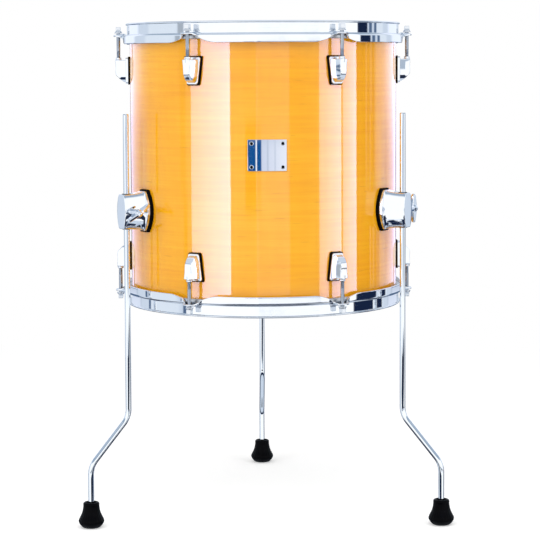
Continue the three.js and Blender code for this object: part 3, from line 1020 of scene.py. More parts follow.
@dataclass
class TensionRod:
    """Threaded rod with its washer, flange and square drive."""

    radius: float = 2.5
    seat: float = -4.1
    washer: tuple[float, float] = (5.2, 1.2)
    flange: tuple[float, float] = (4.5, 1.8)
    square: tuple[float, float] = (6.35, 5.3)
    tip: float = -49.35
    thread_top: float = -27.0
    thread_pitch: float = 0.8
    thread_depth: float = 0.28
    circle: float = 193.0
    facets: int = 40
    thread_facets: int = 20
    thread_step: float = 0.2
    joint_gap: float = 0.05

    def blank(self) -> Workpiece:
        """The whole rod on its own axis.

        Returns:
            The rod, its shank and thread given the second finish, a darker chrome that paints shade on them.
        """
        under = self.seat + self.washer[1]
        shoulder, face = under + self.flange[1], under - self.joint_gap
        rod = self._shank(under)
        rod.add(turned([
            (0, self.seat, 0), (self.washer[0], self.seat, 0.3), (self.washer[0], face, 0.35), (0, face, 0),
        ], self.facets, 2))
        rod.add(turned([
            (0, under, 0), (self.flange[0], under, 0.3), (self.flange[0], shoulder - 0.5, 0.7),
            (self.flange[0] - 1.1, shoulder, 0.3), (0, shoulder, 0),
        ], self.facets))
        half = self.square[0] / 2
        outline = mirrored([(half, -half, 0.5), (half, half, 0.5)])
        drive = Workpiece().plate(outline, 0, self.square[1] + 0.6, 3).turn(-90, "X")
        top = max(vert.co.z for vert in drive.bm.verts)
        rod.add(drive.move((0, 0, shoulder + self.square[1] - top)).soften(0.55, 3, angle=50))
        # Faces below the washer take the darker chrome of painted shade.
        return rod.paint(1, lambda middle: middle.z < self.seat - 0.02)

    def _shank(self, top: float) -> Workpiece:
        """The round shank with a helical thread at its lower end.

        Args:
            top: Height where it meets the flange.

        Returns:
            The shank.
        """
        shank = Workpiece().profile([
            (0, self.tip, 0), (self.radius - 0.5, self.tip, 0), (self.radius, self.tip + 0.5, 0),
            (self.radius, self.thread_top, 0), (self.radius, top, 0), (0, top, 0),
        ], False)
        thread = [
            edge for edge in shank.bm.edges
            if max(vert.co.z for vert in edge.verts) <= self.thread_top + TOUCH and edge.calc_length() > 5
        ]
        rings = int((self.thread_top - self.tip) / self.thread_step)
        bmesh.ops.subdivide_edges(shank.bm, edges=thread, cuts=rings)

        def cut(point: Vector) -> Vector:
            """Sinks the thread's grooves.

            Args:
                point: A vertex.

            Returns:
                Its place.
            """
            if math.hypot(point.x, point.y) < self.radius - TOUCH or point.z > self.thread_top + TOUCH:
                return point
            turn = math.atan2(point.y, point.x) / FULL_TURN
            wave = abs((point.z / self.thread_pitch - turn) % 1.0 - 0.5) * 2
            fade = eased(self.thread_top - point.z, 0.0, self.thread_pitch)
            factor = 1 - self.thread_depth * wave * fade / self.radius
            return Vector((point.x * factor, point.y * factor, point.z))

        return shank.spin(self.thread_facets).shape(cut)


@dataclass
class Lug:
    """Cast lug: tapered base plate on a gasket, raised body with a chin, and the nut's collar."""

    from_edge: float = 53.8
    seat: float = 2.5
    base_height: float = 34.5
    base_top: float = 24.0
    base_bottom: float = 15.4
    base_thickness: float = 3.0
    base_corner: float = 2.2
    body_top: float = 14.05
    body_length: float = 29.3
    shoulder_out: float = 12.0
    front_half_width: float = 5.5
    lip_half_width: float = 4.0
    lip_drop: float = 20.2
    lip_out: float = 18.3
    nut_radius: float = 3.9
    nut_rise: float = 3.4
    rod_standoff: float = 15.2
    gasket: float = 1.9
    gasket_margin: float = 1.3
    cuts: Sequence[float] = range(-9, 10, 3)
    facets: int = 40
    corner_points: int = 5
    waist_rings: int = 16
    under_rings: Sequence[float] = (0.16, 0.28, 0.4, 0.52, 0.64, 0.76, 0.88, 1.0)

    def _outline(self, margin: float) -> list[Corner]:
        """Corners of the base, grown by a margin."""
        half = self.base_height / 2 + margin
        low, high = self.base_bottom / 2 + margin, self.base_top / 2 + margin
        return mirrored([(low, -half, self.base_corner), (high, half, self.base_corner)])

    def gasket_blank(self) -> Workpiece:
        """Rubber sheet under the base."""
        sheet = Workpiece().plate(self._outline(self.gasket_margin), 0, self.gasket)
        return sheet.hug(self.cuts, 0.15, self.gasket + 0.5)

    def casting_blank(self) -> Workpiece:
        """Base plate, body and nut collar.

        Returns:
            The casting.
        """
        face = self.seat + self.base_thickness
        base = Workpiece().plate(self._outline(0.0), 0, face).soften(0.9, 3, face)
        base.hug(self.cuts, self.seat - 0.1).add(self._body())
        top, mouth, nut = self.body_top, self.body_top + self.nut_rise, self.nut_radius
        collar = turned([
            (nut - 1.15, top - 4, 0), (nut + 0.5, top - 4, 0), (nut + 0.5, top + 0.7, 0.4),
            (nut, top + 1.1, 0.2), (nut, mouth, 0.7), (nut - 1.15, mouth, 0.3),
        ], self.facets)
        return base.add(collar.move((0, -self.rod_standoff, 0)))

    def _limits(self, drop: float) -> tuple[float, float, float]:
        """How far the body reaches at a drop below its top.

        Args:
            drop: Distance below the top.

        Returns:
            Out of its front, half width of the front and half width at the shoulders.
        """
        shoulder = between(((0.0, 9.0), (14.0, 8.4), (22.0, 7.4), (self.body_length, 5.2)), drop, True)
        if drop <= self.lip_drop:
            waist = ((0.0, 19.4), (9.2, 18.95), (16.5, 19.3), (19.4, 18.9), (self.lip_drop, self.lip_out))
            share = drop / self.lip_drop
            front = self.front_half_width + (self.lip_half_width - self.front_half_width) * share
            return between(waist, drop), front, shoulder
        under = ((self.lip_drop, self.lip_out), (26.2, 12.2), (27.6, 9.9), (self.body_length, 7.4))
        out = between(under, drop, True)
        share = min(max((self.lip_out - out) / (self.lip_out - self.shoulder_out), 0.0), 1.0)
        return out, self.lip_half_width + (shoulder - 1.1 - self.lip_half_width) * share, shoulder

    def _section(self, drop: float, inset: float) -> list[tuple[float, float]]:
        """Plan section of the body: flat front, sloping cheeks and upright flanks.

        Args:
            drop: Distance below the body's top.
            inset: How far every side is drawn in.

        Returns:
            Across and out of each point, round its corners.
        """
        out, front, shoulder = self._limits(drop)
        out, front, shoulder = out - inset, front - inset * 0.6, shoulder - inset
        flank = min(self.shoulder_out - inset * 0.4, out - 0.45)
        right = [(shoulder + 1.5, self.seat, 0.3), (shoulder - 0.9, flank, 0.9), (front, out, 0.7)]
        return rounded(mirrored(right), self.corner_points)

    def _body(self) -> Workpiece:
        """Raised body, drawn ring by ring from its flat top to its chin.

        Returns:
            The body.
        """
        span = self.body_length - self.lip_drop
        drops = [self.lip_drop * step / self.waist_rings for step in range(1, self.waist_rings)]
        drops += [self.lip_drop + extra for extra in (-0.3, 0.0, 0.3)]
        drops += [self.lip_drop + span * share for share in self.under_rings]
        top = [(2.6, 0.0), (1.0, 0.0), (0.5, 0.06), (0.2, 0.22), (0.05, 0.45), (0.0, 0.75)]
        return Workpiece().rings([
            [Vector((across, -out, self.body_top - drop)) for across, out in self._section(drop, inset)]
            for inset, drop in top + [(0.0, drop) for drop in drops]
        ])


@dataclass
class LegBracket:
    """Cast bracket: barrel shaped flange on a gasket, and a boss that narrows to a flat face."""

    gasket: float = 3.0
    start: float = 3.6
    gasket_margin: float = 2.1
    flange_half_width: float = 17.9
    flange_half_height: float = 25.5
    flange_end: float = 0.5
    flange_thickness: float = 3.6
    reach: float = 32.4
    bow: float = 2.1
    cuts: Sequence[float] = range(-18, 19, 3)

    def _barrel(
        self, width: float, height: float, end: float, corner: float, steps: int = 14
    ) -> list[Corner]:
        """Outline with flat ends and bowed sides.

        Args:
            width: Half of it at the waist.
            height: Half of it between the flat ends.
            end: Width of the ends as a share.
            corner: Rounding where side and end meet.
            steps: Points down one side.

        Returns:
            The corners with their fillets.
        """
        right = []
        for rise in (2 * step / steps - 1 for step in range(steps + 1)):
            share = end + (1 - end) * (1 - abs(rise) ** self.bow)
            right.append((width * share, rise * height, corner if abs(rise) == 1 else 0.0))
        return mirrored(right)

    def gasket_blank(self) -> Workpiece:
        """Thick rubber pad under the flange."""
        size = (self.flange_half_width + self.gasket_margin, self.flange_half_height + self.gasket_margin)
        pad = Workpiece().plate(self._barrel(*size, self.flange_end, 1.6), 0, self.gasket)
        return pad.hug(self.cuts, 0.15, 0.5 + self.gasket)

    def casting_blank(self) -> Workpiece:
        """Flange and boss.

        Returns:
            The casting.
        """
        face = self.start + self.flange_thickness
        outline = self._barrel(self.flange_half_width, self.flange_half_height, self.flange_end, 1.4)
        flange = Workpiece().plate(outline, 0, face).soften(1.1, 3, face)
        return flange.hug(self.cuts, self.start - 0.1).add(self._boss())

    def _boss(self) -> Workpiece:
        """Boss drawn ring by ring from the flange to its rounded rim and flat face.

        Returns:
            The boss. Each section has its share of the reach, its two halves and its end's share.
        """
        sections = [
            (0.02, 15.0, 25.3, 0.62), (0.105, 14.9, 25.25, 0.62), (0.122, 14.2, 25.0, 0.62),
            (0.15, 13.5, 24.7, 0.625), (0.2, 13.1, 24.4, 0.63), (0.3, 12.85, 23.85, 0.63),
            (0.42, 12.7, 23.35, 0.63), (0.57, 12.5, 22.85, 0.625), (0.72, 12.35, 22.55, 0.62),
            (0.84, 12.25, 22.42, 0.615), (0.93, 12.15, 22.35, 0.61), (0.965, 12.05, 22.3, 0.605),
            (0.984, 11.85, 22.15, 0.6), (0.995, 11.5, 21.85, 0.595), (1.0, 11.0, 21.4, 0.59),
            (1.0, 6.0, 12.0, 0.6),
        ]
        rings = []
        for share, width, height, end in sections:
            outline = rounded(self._barrel(width, height, end, min(1.8, height * 0.08), 10), 4)
            rings.append([Vector((across, -self.start - self.reach * share, up)) for across, up in outline])
        return Workpiece().rings(rings)


@dataclass
class LegBush:
    """Split nylon bush between the bracket and the leg."""

    inner: float = 5.05
    outer: float = 6.25
    half: float = 23.0
    lip: float = 5.9
    slot: float = 1.6
    facets: int = 44

    def blank(self) -> Workpiece:
        """Tube with a slot down its outer side and a narrow lip at both ends.

        Returns:
            The bush.
        """
        wedge = 2 * math.asin(self.slot / 2 / self.inner)
        bush = Workpiece().profile(mirrored([
            (self.inner, -self.half, 0.25), (self.lip, -self.half, 0.3), (self.lip, -self.half + 0.8, 0.2),
            (self.outer, -self.half + 1.0, 0.0),
        ], True), True, 2)
        bush.spin(self.facets, FULL_TURN - wedge).turn(-90 + math.degrees(wedge) / 2, "Z")
        bmesh.ops.holes_fill(bush.bm, edges=[edge for edge in bush.bm.edges if edge.is_boundary], sides=0)
        return bush.tidy()


@dataclass
class WingBolt:
    """Cast wing bolt: threaded shank, collar, pointed hub and two blades."""

    reach: float = 42.0
    pinch: float = 6.55
    shank: float = 3.0
    collar: float = 4.7
    hub: float = 5.4
    span: float = 38.4
    thickness: float = 4.4
    facets: int = 48

    def blank(self) -> Workpiece:
        """The bolt along +X from the leg's axis, blades upright.

        Returns:
            The bolt.
        """
        reach, collar = self.reach, self.collar
        spindle = turned([
            (0, self.pinch, 0), (self.shank, self.pinch, 0.4), (self.shank, reach * 0.36, 0),
            (collar, reach * 0.36, 0.4), (collar, reach * 0.62, 0.8), (collar - 0.5, reach * 0.68, 0.6),
            (self.hub, reach * 0.78, 1.6), (collar, reach * 0.90, 1.2), (0.9, reach - 0.2, 0.4),
            (0, reach - 0.2, 0),
        ], self.facets, 4)
        blades = Workpiece().plate(self._blade_outline(), -self.thickness / 2, self.thickness / 2, 3)
        return spindle.turn(90, "Y").add(blades.soften(1.3, 4).tidy())

    def _blade_outline(self) -> list[Corner]:
        """Both blades in one outline: swept ears with rounded tips.

        Returns:
            The corners with their fillets.
        """
        shares = [
            (0.67, 0.24, 1.0), (0.70, 0.70, 3.0), (0.74, 0.97, 2.6), (0.855, 0.985, 2.8), (0.90, 0.70, 3.0),
            (0.965, 0.22, 1.0),
        ]
        upper = [(self.reach * along, self.span / 2 * out, fillet) for along, out, fillet in shares]
        return mirrored(upper, True)


@dataclass
class Leg:
    """Bent chromed rod. Its crown gives the inset and the drop of each ring of its rounded top end."""

    radius: float = 4.75
    top: float = 531.1
    upper_bend: float = 138.0
    lower_bend: float = 79.0
    offset: float = 55.0
    bend_radius: float = 28.0
    bend_steps: int = 14
    foot: float = 10.3
    facets: int = 40
    crown: Table = ((1.4, 0.0), (0.5, 0.25), (0.0, 1.15))

    def blank(self) -> Workpiece:
        """The rod from its top down, with its upright run on the station's axis.

        Returns:
            The rod.
        """
        fall = self.upper_bend - self.lower_bend
        slant = math.atan2(self.offset, fall)
        setback = self.bend_radius * math.tan(slant / 2)
        start, end = self.upper_bend + setback, self.lower_bend - setback
        run = math.hypot(self.offset, fall) - 2 * setback
        inset, drop = self.crown[0]
        rod = Workpiece()
        bmesh.ops.create_circle(rod.bm, cap_ends=True, radius=self.radius - inset, segments=self.facets)
        rod.move((0, 0, self.top))
        for wider, lower in self.crown[1:]:
            scale = (self.radius - wider) / (self.radius - inset)
            self._grow(rod, (0, 0, drop - lower), scale, drop == 0.0)
            inset, drop = wider, lower
        self._grow(rod, (0, 0, start - self.top + drop))
        self._sweep(rod, Vector((0, -self.bend_radius, start)), -slant)
        self._grow(rod, (0, -math.sin(slant) * run, -math.cos(slant) * run))
        self._sweep(rod, Vector((0, self.bend_radius - self.offset, end)), slant)
        self._grow(rod, (0, 0, self.foot - end))
        return rod.tidy()

    def _front(self, rod: Workpiece) -> list[bmesh.types.BMFace]:
        """The cap that is drawn out next."""
        return [face for face in rod.bm.faces if len(face.verts) == self.facets][-1:]

    def _grow(self, rod: Workpiece, step: Sequence[float], scale: float = 1.0, keep: bool = False) -> None:
        """Extrudes the last cap.

        Args:
            rod: The rod so far.
            step: How far the cap goes.
            scale: How much it swells.
            keep: Whether the old cap stays, which closes the rod's top.
        """
        grown = bmesh.ops.extrude_face_region(rod.bm, geom=self._front(rod), use_keep_orig=keep)
        fresh = [item for item in grown["geom"] if isinstance(item, bmesh.types.BMVert)]
        bmesh.ops.translate(rod.bm, verts=fresh, vec=step)
        if scale != 1.0:
            bmesh.ops.scale(rod.bm, verts=fresh, vec=(scale, scale, 1))

    def _sweep(self, rod: Workpiece, centre: Vector, angle: float) -> None:
        """Draws the last cap round a bend.

        Args:
            rod: The rod so far.
            centre: Where the bend's axis, across the leg, passes.
            angle: How far it bends.
        """
        bmesh.ops.spin(
            rod.bm, geom=self._front(rod), cent=centre, axis=(1, 0, 0), angle=angle,
            steps=self.bend_steps, use_merge=False, use_duplicate=False,
        )


@dataclass
class Foot:
    """Flared rubber foot with a thick lip round a recessed mouth, and shallow flutes."""

    height: float = 33.0
    radius: float = 16.4
    base: float = 10.8
    sole: float = 10.0
    bore: float = 5.0
    facets: int = 96
    flutes: int = 24
    flute_depth: float = 0.42

    def blank(self) -> Workpiece:
        """The foot turned on its own axis, fluted round its waist.

        Returns:
            The foot.
        """
        wide, tall = self.radius, self.height

        def flute(point: Vector) -> Vector:
            """Presses shallow flutes into the flare.

            Args:
                point: A vertex.

            Returns:
                Its place.
            """
            share, distance = point.z / tall, math.hypot(point.x, point.y)
            if distance < wide * 0.6 or share < 0.1 or share > 0.82:
                return point
            depth = self.flute_depth * eased(share, 0.12, 0.3) * eased(0.8 - share, 0.0, 0.3)
            wave = 0.5 - 0.5 * math.cos(self.flutes * math.atan2(point.y, point.x))
            factor = 1 - depth * wave / distance
            return Vector((point.x * factor, point.y * factor, point.z))

        flare = [
            (0.87, 0.10, 1.5), (1.01, 0.22, 1.6), (1.01, 0.29, 1.6), (0.90, 0.40, 2.4), (0.745, 0.55, 3.0),
            (0.665, 0.70, 3.0), (0.625, 0.86, 1.2), (0.65, 0.93, 1.3), (0.56, 1.0, 1.5), (0.44, 0.985, 0.9),
        ]
        return turned([
            (0, 0, 0), (self.base, 0, 1.2), *((wide * out, tall * up, fillet) for out, up, fillet in flare),
            (self.bore, tall * 0.88, 0.4), (self.bore, self.sole, 0), (0, self.sole, 0),
        ], self.facets, 4).shape(flute)


@dataclass
class NamePlate:
    """Curved bare plate with bevelled rims and four eyelet rivets."""

    width: float = 49.0
    height: float = 39.5
    thickness: float = 1.0
    seat: float = 0.3
    middle: float = 480.8
    azimuth: float = 0.7
    inset: float = 5.0
    rivet: float = 2.75
    bore: float = 1.85
    cuts: int = 24

    def build(self) -> None:
        """Plate and rivets in one piece."""
        radius, half = SHELL_RADIUS + self.seat, self.height / 2

        def bend(point: Vector) -> Vector:
            """Wraps the plate round the shell."""
            angle, distance = point.x / radius, radius - point.y
            return Vector((distance * math.sin(angle), -distance * math.cos(angle), point.z))

        outline = mirrored([(self.width / 2, -half, 1.1), (self.width / 2, half, 1.1)])
        plate = Workpiece().plate(outline, 0, self.thickness).soften(0.3, 2, self.thickness)
        middle = self.cuts // 2
        plate.sliced(0, [self.width * share / self.cuts for share in range(1 - middle, middle)]).shape(bend)
        across = math.degrees((self.width / 2 - self.inset) / radius)
        for turn, level in ((turn, level) for turn in (-across, across) for level in (-1, 1)):
            place = (0, -radius - self.thickness, level * (half - self.inset))
            plate.add(self._rivet().turn(90, "X").move(place).turn(turn, "Z"))
        station = Station(self.azimuth, height=self.middle)
        plate.place("name_plate", station, "drum", Slot.PLATE, ["badge"], 30, [RIVET_BORE_PAINTED_SHADE])

    def _rivet(self) -> Workpiece:
        """Eyelet whose shallow bore is painted black, painted shade for the depth of its hole.

        Returns:
            The rivet on its own axis.
        """
        rivet = turned([
            (0, -0.4, 0), (self.rivet, -0.4, 0), (self.rivet, 0.3, 0.2), (self.rivet - 0.35, 0.85, 0.25),
            (self.bore + 0.1, 0.85, 0.2), (self.bore, 0.1, 0), (0, 0.1, 0),
        ], 32)
        # Faces inside the bore get the black of painted shade.
        return rivet.paint(1, lambda middle: math.hypot(*middle.xy) < self.bore + 0.02 and middle.z > 0)


@dataclass
class Drum:
    """Puts the pieces at their stations. Each leg has its azimuth and its wing bolt's turn."""

    shell: Shell = field(default_factory=Shell)
    legs: Mapping[str, tuple[float, float]] = field(
        default_factory=lambda: {"left": (-60.0, -56.0), "right": (60.0, 0.0), "rear": (180.0, 34.0)}
    )
    bracket_height: float = 405.6
    leg_circle: float = 205.8
    foot_circle: float = 260.8

    def build(self) -> None:
        """Builds every sub-assembly in order and reports it."""
        self.shell.build()
        NamePlate().build()
        log.info("shell, vent grommet and name plate")
        for side in Side:
            self._head_side(side)
        for name, (azimuth, wing_turn) in self.legs.items():
            self._leg_side(name, azimuth, wing_turn)

    def _head_side(self, side: Side) -> None:
        """Head, hoop, rods and lugs of one side.

        Args:
            side: Which side.
        """
        name, inverted = side.value, side is Side.RESONANT
        edge = self.shell.bottom + (0.0 if inverted else self.shell.depth)
        hoop, rod, lug = Hoop(), TensionRod(), Lug()
        Head().build(side, edge)
        hoop.build(side, edge)
        rod_blank, casting, gasket = rod.blank(), lug.casting_blank(), lug.gasket_blank()
        at_lugs = edge + (lug.from_edge if inverted else -lug.from_edge)
        for number in range(1, hoop.count + 1):
            azimuth = hoop.first + (number - 1) * 360 / hoop.count
            at_edge = Station(azimuth, rod.circle, edge, inverted)
            at_lug = Station(azimuth, SHELL_RADIUS, at_lugs, inverted)
            rod_blank.place(
                f"{name}_rod_steel_{number}", at_edge, f"{name}_rod_{number}", Slot.ROD,
                [f"{name}_tension_rod_{number}"], finishes=[ROD_SHANK_PAINTED_SHADE],
            )
            for blank, piece, slot, node in (
                (casting, "casting", Slot.CAST, f"{name}_lug_{number}"),
                (gasket, "pad", Slot.GASKET, f"{name}_lug_gasket_{number}"),
            ):
                blank.place(f"{name}_lug_{piece}_{number}", at_lug, "drum", slot, [node])
        log.info("%s side: head, hoop, %d rods and lugs", name, hoop.count)

    def _leg_side(self, name: str, azimuth: float, wing_turn: float) -> None:
        """Bracket, bush, wing bolt, leg and foot of one leg.

        Args:
            name: The leg's name.
            azimuth: Its direction from the front.
            wing_turn: How far its wing bolt is turned.
        """
        at_shell = Station(azimuth, SHELL_RADIUS, self.bracket_height)
        at_bore = Station(azimuth, self.leg_circle, self.bracket_height)
        at_leg, at_foot = Station(azimuth, self.leg_circle), Station(azimuth, self.foot_circle)
        bracket, bolt = LegBracket(), WingBolt().blank().turn(wing_turn, "X")
        for blank, piece, station, body, slot, node in (
            (bracket.casting_blank(), "bracket_casting", at_shell, "drum", Slot.CAST, "leg_bracket"),
            (bracket.gasket_blank(), "bracket_pad", at_shell, "drum", Slot.GASKET, "leg_bracket_gasket"),
            (LegBush().blank(), "bush_sleeve", at_bore, f"leg_bush_{name}", Slot.BUSH, "leg_bush"),
            (bolt, "wing_bolt_casting", at_bore, f"wing_bolt_{name}", Slot.CAST, "wing_bolt"),
            (Leg().blank(), "leg_rod", at_leg, f"leg_{name}", Slot.LEG, "leg"),
            (Foot().blank(), "foot_rubber", at_foot, f"leg_{name}", Slot.FOOT, "foot"),
        ):
            crease = FOOT_CREASE if slot is Slot.FOOT else CREASE
            blank.place(f"{piece}_{name}", station, body, slot, [f"{node}_{name}"], crease)
        log.info("%s leg with bracket, bush, wing bolt and foot", name)


@dataclass(frozen=True)
class Flag:
    """Patch of the surroundings, in degrees round from the front and up from the horizon."""

    around: tuple[float, float]
    height: tuple[float, float]
    colour: Colour
    blur: float = 1.0
    far_colour: Colour | None = None

    def shade(self, turn: Signal) -> object:
        """The patch's colour, which may change from its low side to its high side.

        Args:
            turn: Degrees round from the front.

        Returns:
            A colour or a signal.
        """
        if self.far_colour is None:
            return self.colour
        low, high = self.around
        run = ((turn - low) / (high - low)).most(0.0).least(1.0)
        return turn.bench.blend(run, self.colour, self.far_colour)

    def share(self, turn: Signal, rise: Signal) -> Signal:
        """How much of the patch a direction sees.

        Args:
            turn: Degrees round from the front.
            rise: Degrees up.

        Returns:
            1 inside it, 0 outside, eased at its rim.
        """
        sides = []
        for value, (low, high) in ((turn, self.around), (rise, self.height)):
            sides.append(value.step(low - self.blur, low + self.blur))
            sides.append(1.0 - value.step(high - self.blur, high + self.blur))
        return sides[0] * sides[1] * sides[2] * sides[3]


@dataclass
class Studio:
    """White cove, soft boxes for the lacquer, lamps for matt surfaces, flags for metal, and the camera."""

    distance: float = 2.5
    camera_height: float = 0.5946
    pitch: float = 4.0
    roll: float = -0.28
    focal_pixels: float = 1862.0
    principal: tuple[float, float] = (263.5, 194.2)
    picture: int = 540
    sensor: float = 36.0
    camera_azimuth: float = -0.867
    ambient: float = 0.6
    surround: Colour = (0.70, 0.78, 0.89)
    gloss_colour: Colour = (0.60, 0.62, 1.0)

    @staticmethod
    def around(azimuth: float, distance: float, height: float) -> Vector:
        """Point at an azimuth, a distance from the drum's axis and a height, in metres."""
        angle = math.radians(azimuth)
        return Vector((distance * math.sin(angle), AXIS_Y * METRES - distance * math.cos(angle), height))

    def camera(self) -> None:
        """Camera at the photograph's place and angle."""
        data = bpy.data.cameras.new("camera")
        data.sensor_width, data.sensor_fit = self.sensor, "AUTO"
        data.lens = self.sensor * self.focal_pixels / self.picture
        data.shift_x = (self.picture / 2 - self.principal[0]) / self.picture
        data.shift_y = (self.principal[1] - self.picture / 2) / self.picture
        data.clip_start, data.clip_end = 0.05, 60.0
        camera = linked("camera", data)
        place = Matrix.Translation(self.around(self.camera_azimuth, self.distance, self.camera_height))
        turns = ((self.camera_azimuth, "Z"), (90 - self.pitch, "X"), (self.roll, "Z"))
        for degrees, axis in turns:
            place = place @ Matrix.Rotation(math.radians(degrees), 4, axis)
        camera.matrix_world = place
        bpy.context.scene.camera = camera

    @staticmethod
    def sheet(name: str, size: Sequence[float], place: Sequence[float], finish: Material) -> Thing:
        """Flat sheet of the studio, in metres.

        Args:
            name: Its name.
            size: Width and depth.
            place: Its middle.
            finish: Its material.

        Returns:
            The sheet.
        """
        work = Workpiece()
        bmesh.ops.create_grid(work.bm, x_segments=1, y_segments=1, size=0.5)
        mesh = work.mesh(name, Matrix.Translation(place) @ Matrix.Diagonal((*size, 1, 1)))
        mesh.materials.append(finish)
        sheet = linked(name, mesh)
        return sheet

    def floor(self) -> None:
        """Pale floor that keeps the drum's shadow and fades to white far out."""
        bench = Paint("studio_floor")
        paper = bench.add("ShaderNodeBsdfDiffuse", None, {"Color": (0.86, 0.86, 0.86, 1)})
        seen = bench.add("ShaderNodeLightPath", output="Is Camera Ray")
        lift = bench.add("ShaderNodeEmission", None, {"Strength": seen * 0.34})
        both = bench.add("ShaderNodeAddShader", None, {0: paper, 1: lift})
        reach = bench.add("ShaderNodeVectorMath", {"operation": "LENGTH"}, {0: bench.spot}, "Value")
        cove = bench.add("ShaderNodeEmission", None, {"Strength": 1.0})
        faded = bench.add("ShaderNodeMixShader", None, {0: reach.step(0.6, 1.5) * seen, 1: both, 2: cove})
        floor = self.sheet("studio_floor", (18.0, 18.0), (0, 0, -0.0004), bench.surface(faded))
        floor.visible_glossy = False

    def cloths(self) -> None:
        """Dark cloths on the floor ahead of the drum, which only its glossy surfaces show."""
        bench = Paint("studio_cloth")
        glow = bench.add("ShaderNodeEmission", None, {"Color": (0.02, 0.03, 0.06, 1), "Strength": 1.0})
        dark, lift = bench.surface(glow), 0.003
        for name, size, across, ahead in (
            ("far", (1.95, 0.706), 0.475, 1.101),
            ("near", (0.46, 0.24), 0.01, 0.29),
        ):
            cloth = self.sheet(f"studio_cloth_{name}", size, (across, AXIS_Y * METRES - ahead, lift), dark)
            cloth.visible_camera = cloth.visible_diffuse = cloth.visible_shadow = False

    def lamp(
        self, name: str, azimuth: float, distance: float, height: float, size: Sequence[float], watts: float,
        start: float | None = None,
    ) -> None:
        """Area lamp that faces the drum.

        Args:
            name: The lamp's name.
            azimuth: Its direction from the front, positive toward +X.
            distance: From the drum's axis, in metres.
            height: Of its centre, in metres.
            size: Width and height in metres.
            watts: Its power.
            start: Strength at its left side, as its own back sees it, where the right side has 1.
                Only the lacquer's gloss shows such a lamp. One without it lights matt surfaces alone.
        """
        data = bpy.data.lights.new(name, "AREA")
        data.shape, data.energy = "RECTANGLE", watts
        data.size, data.size_y = size
        lamp = linked(name, data)
        place = self.around(azimuth, distance, height)
        aim = Vector((0, AXIS_Y * METRES, 0.45 if start is None else height)) - place
        lamp.matrix_world = Matrix.Translation(place) @ aim.to_track_quat("-Z", "Y").to_matrix().to_4x4()
        lamp.visible_camera = False
        lamp.visible_glossy, lamp.visible_diffuse = start is not None, start is None
        if start is not None:
            data.color = self.gloss_colour
            data.use_nodes = True
            bench = Bench(data.node_tree)
            spot = bench.add("ShaderNodeNewGeometry", output="Parametric")
            share = bench.add("ShaderNodeSeparateXYZ", None, {0: spot}, "X")
            lit = bench.add("ShaderNodeEmission", None, {"Strength": share * (1.0 - start) + start})
            bench.add("ShaderNodeOutputLight", None, {"Surface": lit})
            receivers = bpy.data.collections.new(f"{name}_receivers")
            receivers.objects.link(bpy.data.objects["shell_wood"])
            lamp.light_linking.receiver_collection = receivers

    def world(self) -> None:
        """White surroundings for the camera, a plain level for matt surfaces, flags for metal."""
        world = bpy.data.worlds.new("studio")
        world.use_nodes = True
        bpy.context.scene.world = world
        bench = Bench(world.node_tree)
        ray = bench.add("ShaderNodeLightPath", output="Is Camera Ray")
        metal = ray.out("Is Glossy Ray").most(ray.out("Is Transmission Ray"))
        spot = bench.add("ShaderNodeTexCoord", output="Generated")
        across = bench.add("ShaderNodeSeparateXYZ", None, {0: spot}, "X")
        back = across.out("Y") * -1.0
        degrees = 360 / FULL_TURN
        turn = bench.add("ShaderNodeMath", {"operation": "ARCTAN2"}, {0: across, 1: back}) * degrees
        rise = bench.add("ShaderNodeMath", {"operation": "ARCSINE"}, {0: across.out("Z")}) * degrees
        seen: object = self.surround
        for flag in self.flags():
            seen = bench.blend(flag.share(turn, rise), seen, flag.shade(turn))
        white = (1.0, 1.0, 1.0)
        shown = bench.blend(ray, seen, white)
        strength = ray.most(metal) * (1 - self.ambient) + self.ambient
        plain = bench.blend(ray.most(metal), white, shown)
        light = bench.add("ShaderNodeBackground", None, {"Color": plain, "Strength": strength})
        bench.add("ShaderNodeOutputWorld", None, {"Surface": light})

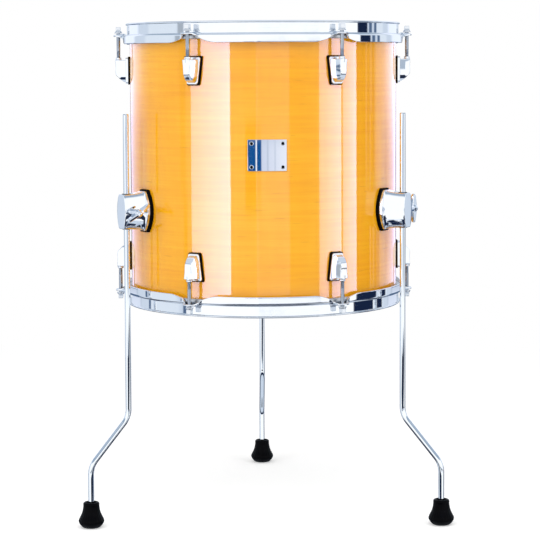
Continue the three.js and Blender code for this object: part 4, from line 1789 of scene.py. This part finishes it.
    @staticmethod
    def flags() -> list[Flag]:
        """Soft boxes, boards and cloths round the drum that only its glossy surfaces show.

        Returns:
            The flags, each laid over the ones before it.
        """
        white, pale, steel = (1.19, 1.2, 1.21), (0.84, 0.91, 0.99), (0.50, 0.58, 0.68)
        navy, slate, dusk = (0.010, 0.020, 0.055), (0.10, 0.16, 0.27), (0.008, 0.095, 0.31)
        cool, plate, eye, low = (1.0, 1.06, 1.2), (-4.6, -1.8), (-4, 6), (-26, -4)
        right, left = (128, 200), (-200, -128)
        return [
            Flag((-112, -76), (-30, 30), pale, 3.0),
            Flag((109, 120), (-30, 30), pale, 2.0),
            Flag((130, 155), (-30, 60), cool, 3.0),
            Flag((-155, -130), (-30, 60), cool, 3.0),
            *(Flag(side, rise, slate, 1.5) for rise in ((-6.6, -1.6), (-26, -8.6)) for side in (right, left)),
            Flag((-70, 85), (-26, 56), white, 1.0),
            Flag((-5, 46), (-6.9, 0.25), steel, 0.5),
            Flag((-5, 46), (-9.5, -8.3), steel, 0.3),
            Flag((-16, -2.4), plate, dusk, 0.4),
            Flag((-7.2, -6.2), plate, white, 0.4),
            Flag((-2.4, 19), plate, (0.74, 0.79, 0.93), 0.8, (1.0, 1.02, 1.08)),
            Flag((8.4, 9.4), plate, (0.66, 0.72, 0.83), 0.8),
            Flag((2.2, 3.4), plate, (0.60, 0.66, 0.78), 0.8),
            Flag((85, 97), eye, navy, 0.8),
            Flag((80, 104), low, navy, 0.8),
            Flag((99, 103), eye, slate, 0.8),
            Flag((106, 109.5), eye, slate, 0.8),
            Flag((109.5, 118), (-20, -4), navy, 0.8),
            Flag((-115, -112), (-12, -4), slate, 0.8),
            Flag((-72.5, -69), low, slate, 0.8),
            Flag((-76, -70), eye, (0.45, 0.50, 0.56), 1.0),
            Flag((-200, 200), (-41, -27), navy, 2.0),
            Flag((-200, 200), (31, 52), (0.36, 0.45, 0.57), 4.0),
        ]

    def build(self) -> None:
        """Floor, lights, surroundings and camera."""
        self.floor()
        self.cloths()
        for name, azimuth, width, watts, start in (
            ("left_soft_box", -45.0, 1.44, 180.0, 0.45),
            ("right_soft_box", 56.0, 0.84, 80.0, 0.45),
            ("right_back_box", 75.2, 0.59, 60.0, 0.45),
            ("front_board", 7.0, 1.1, 11.0, 0.8),
            ("right_rim_box", 134.0, 2.2, 46.0, 0.2),
            ("left_rim_box", -136.0, 2.05, 1.4, 22.0),
        ):
            self.lamp(name, azimuth, 2.3, 0.9, (width, 2.6), watts, start)
        self.lamp("left_fill", -48.0, 2.4, 1.3, (1.7, 2.4), 22.0)
        self.lamp("right_fill", 55.0, 2.4, 1.3, (1.5, 2.4), 16.0)
        self.lamp("top_light", 0.0, 1.2, 2.8, (2.6, 2.6), 24.0)
        self.world()
        self.camera()
        bpy.context.scene.view_settings.view_transform = "Standard"


def main() -> None:
    """Builds the drum and the studio."""
    logging.basicConfig(level=logging.INFO, format="%(name)s: %(message)s")
    Drum().build()
    Studio().build()
    bpy.context.view_layer.update()


if __name__ == "__main__":
    main()
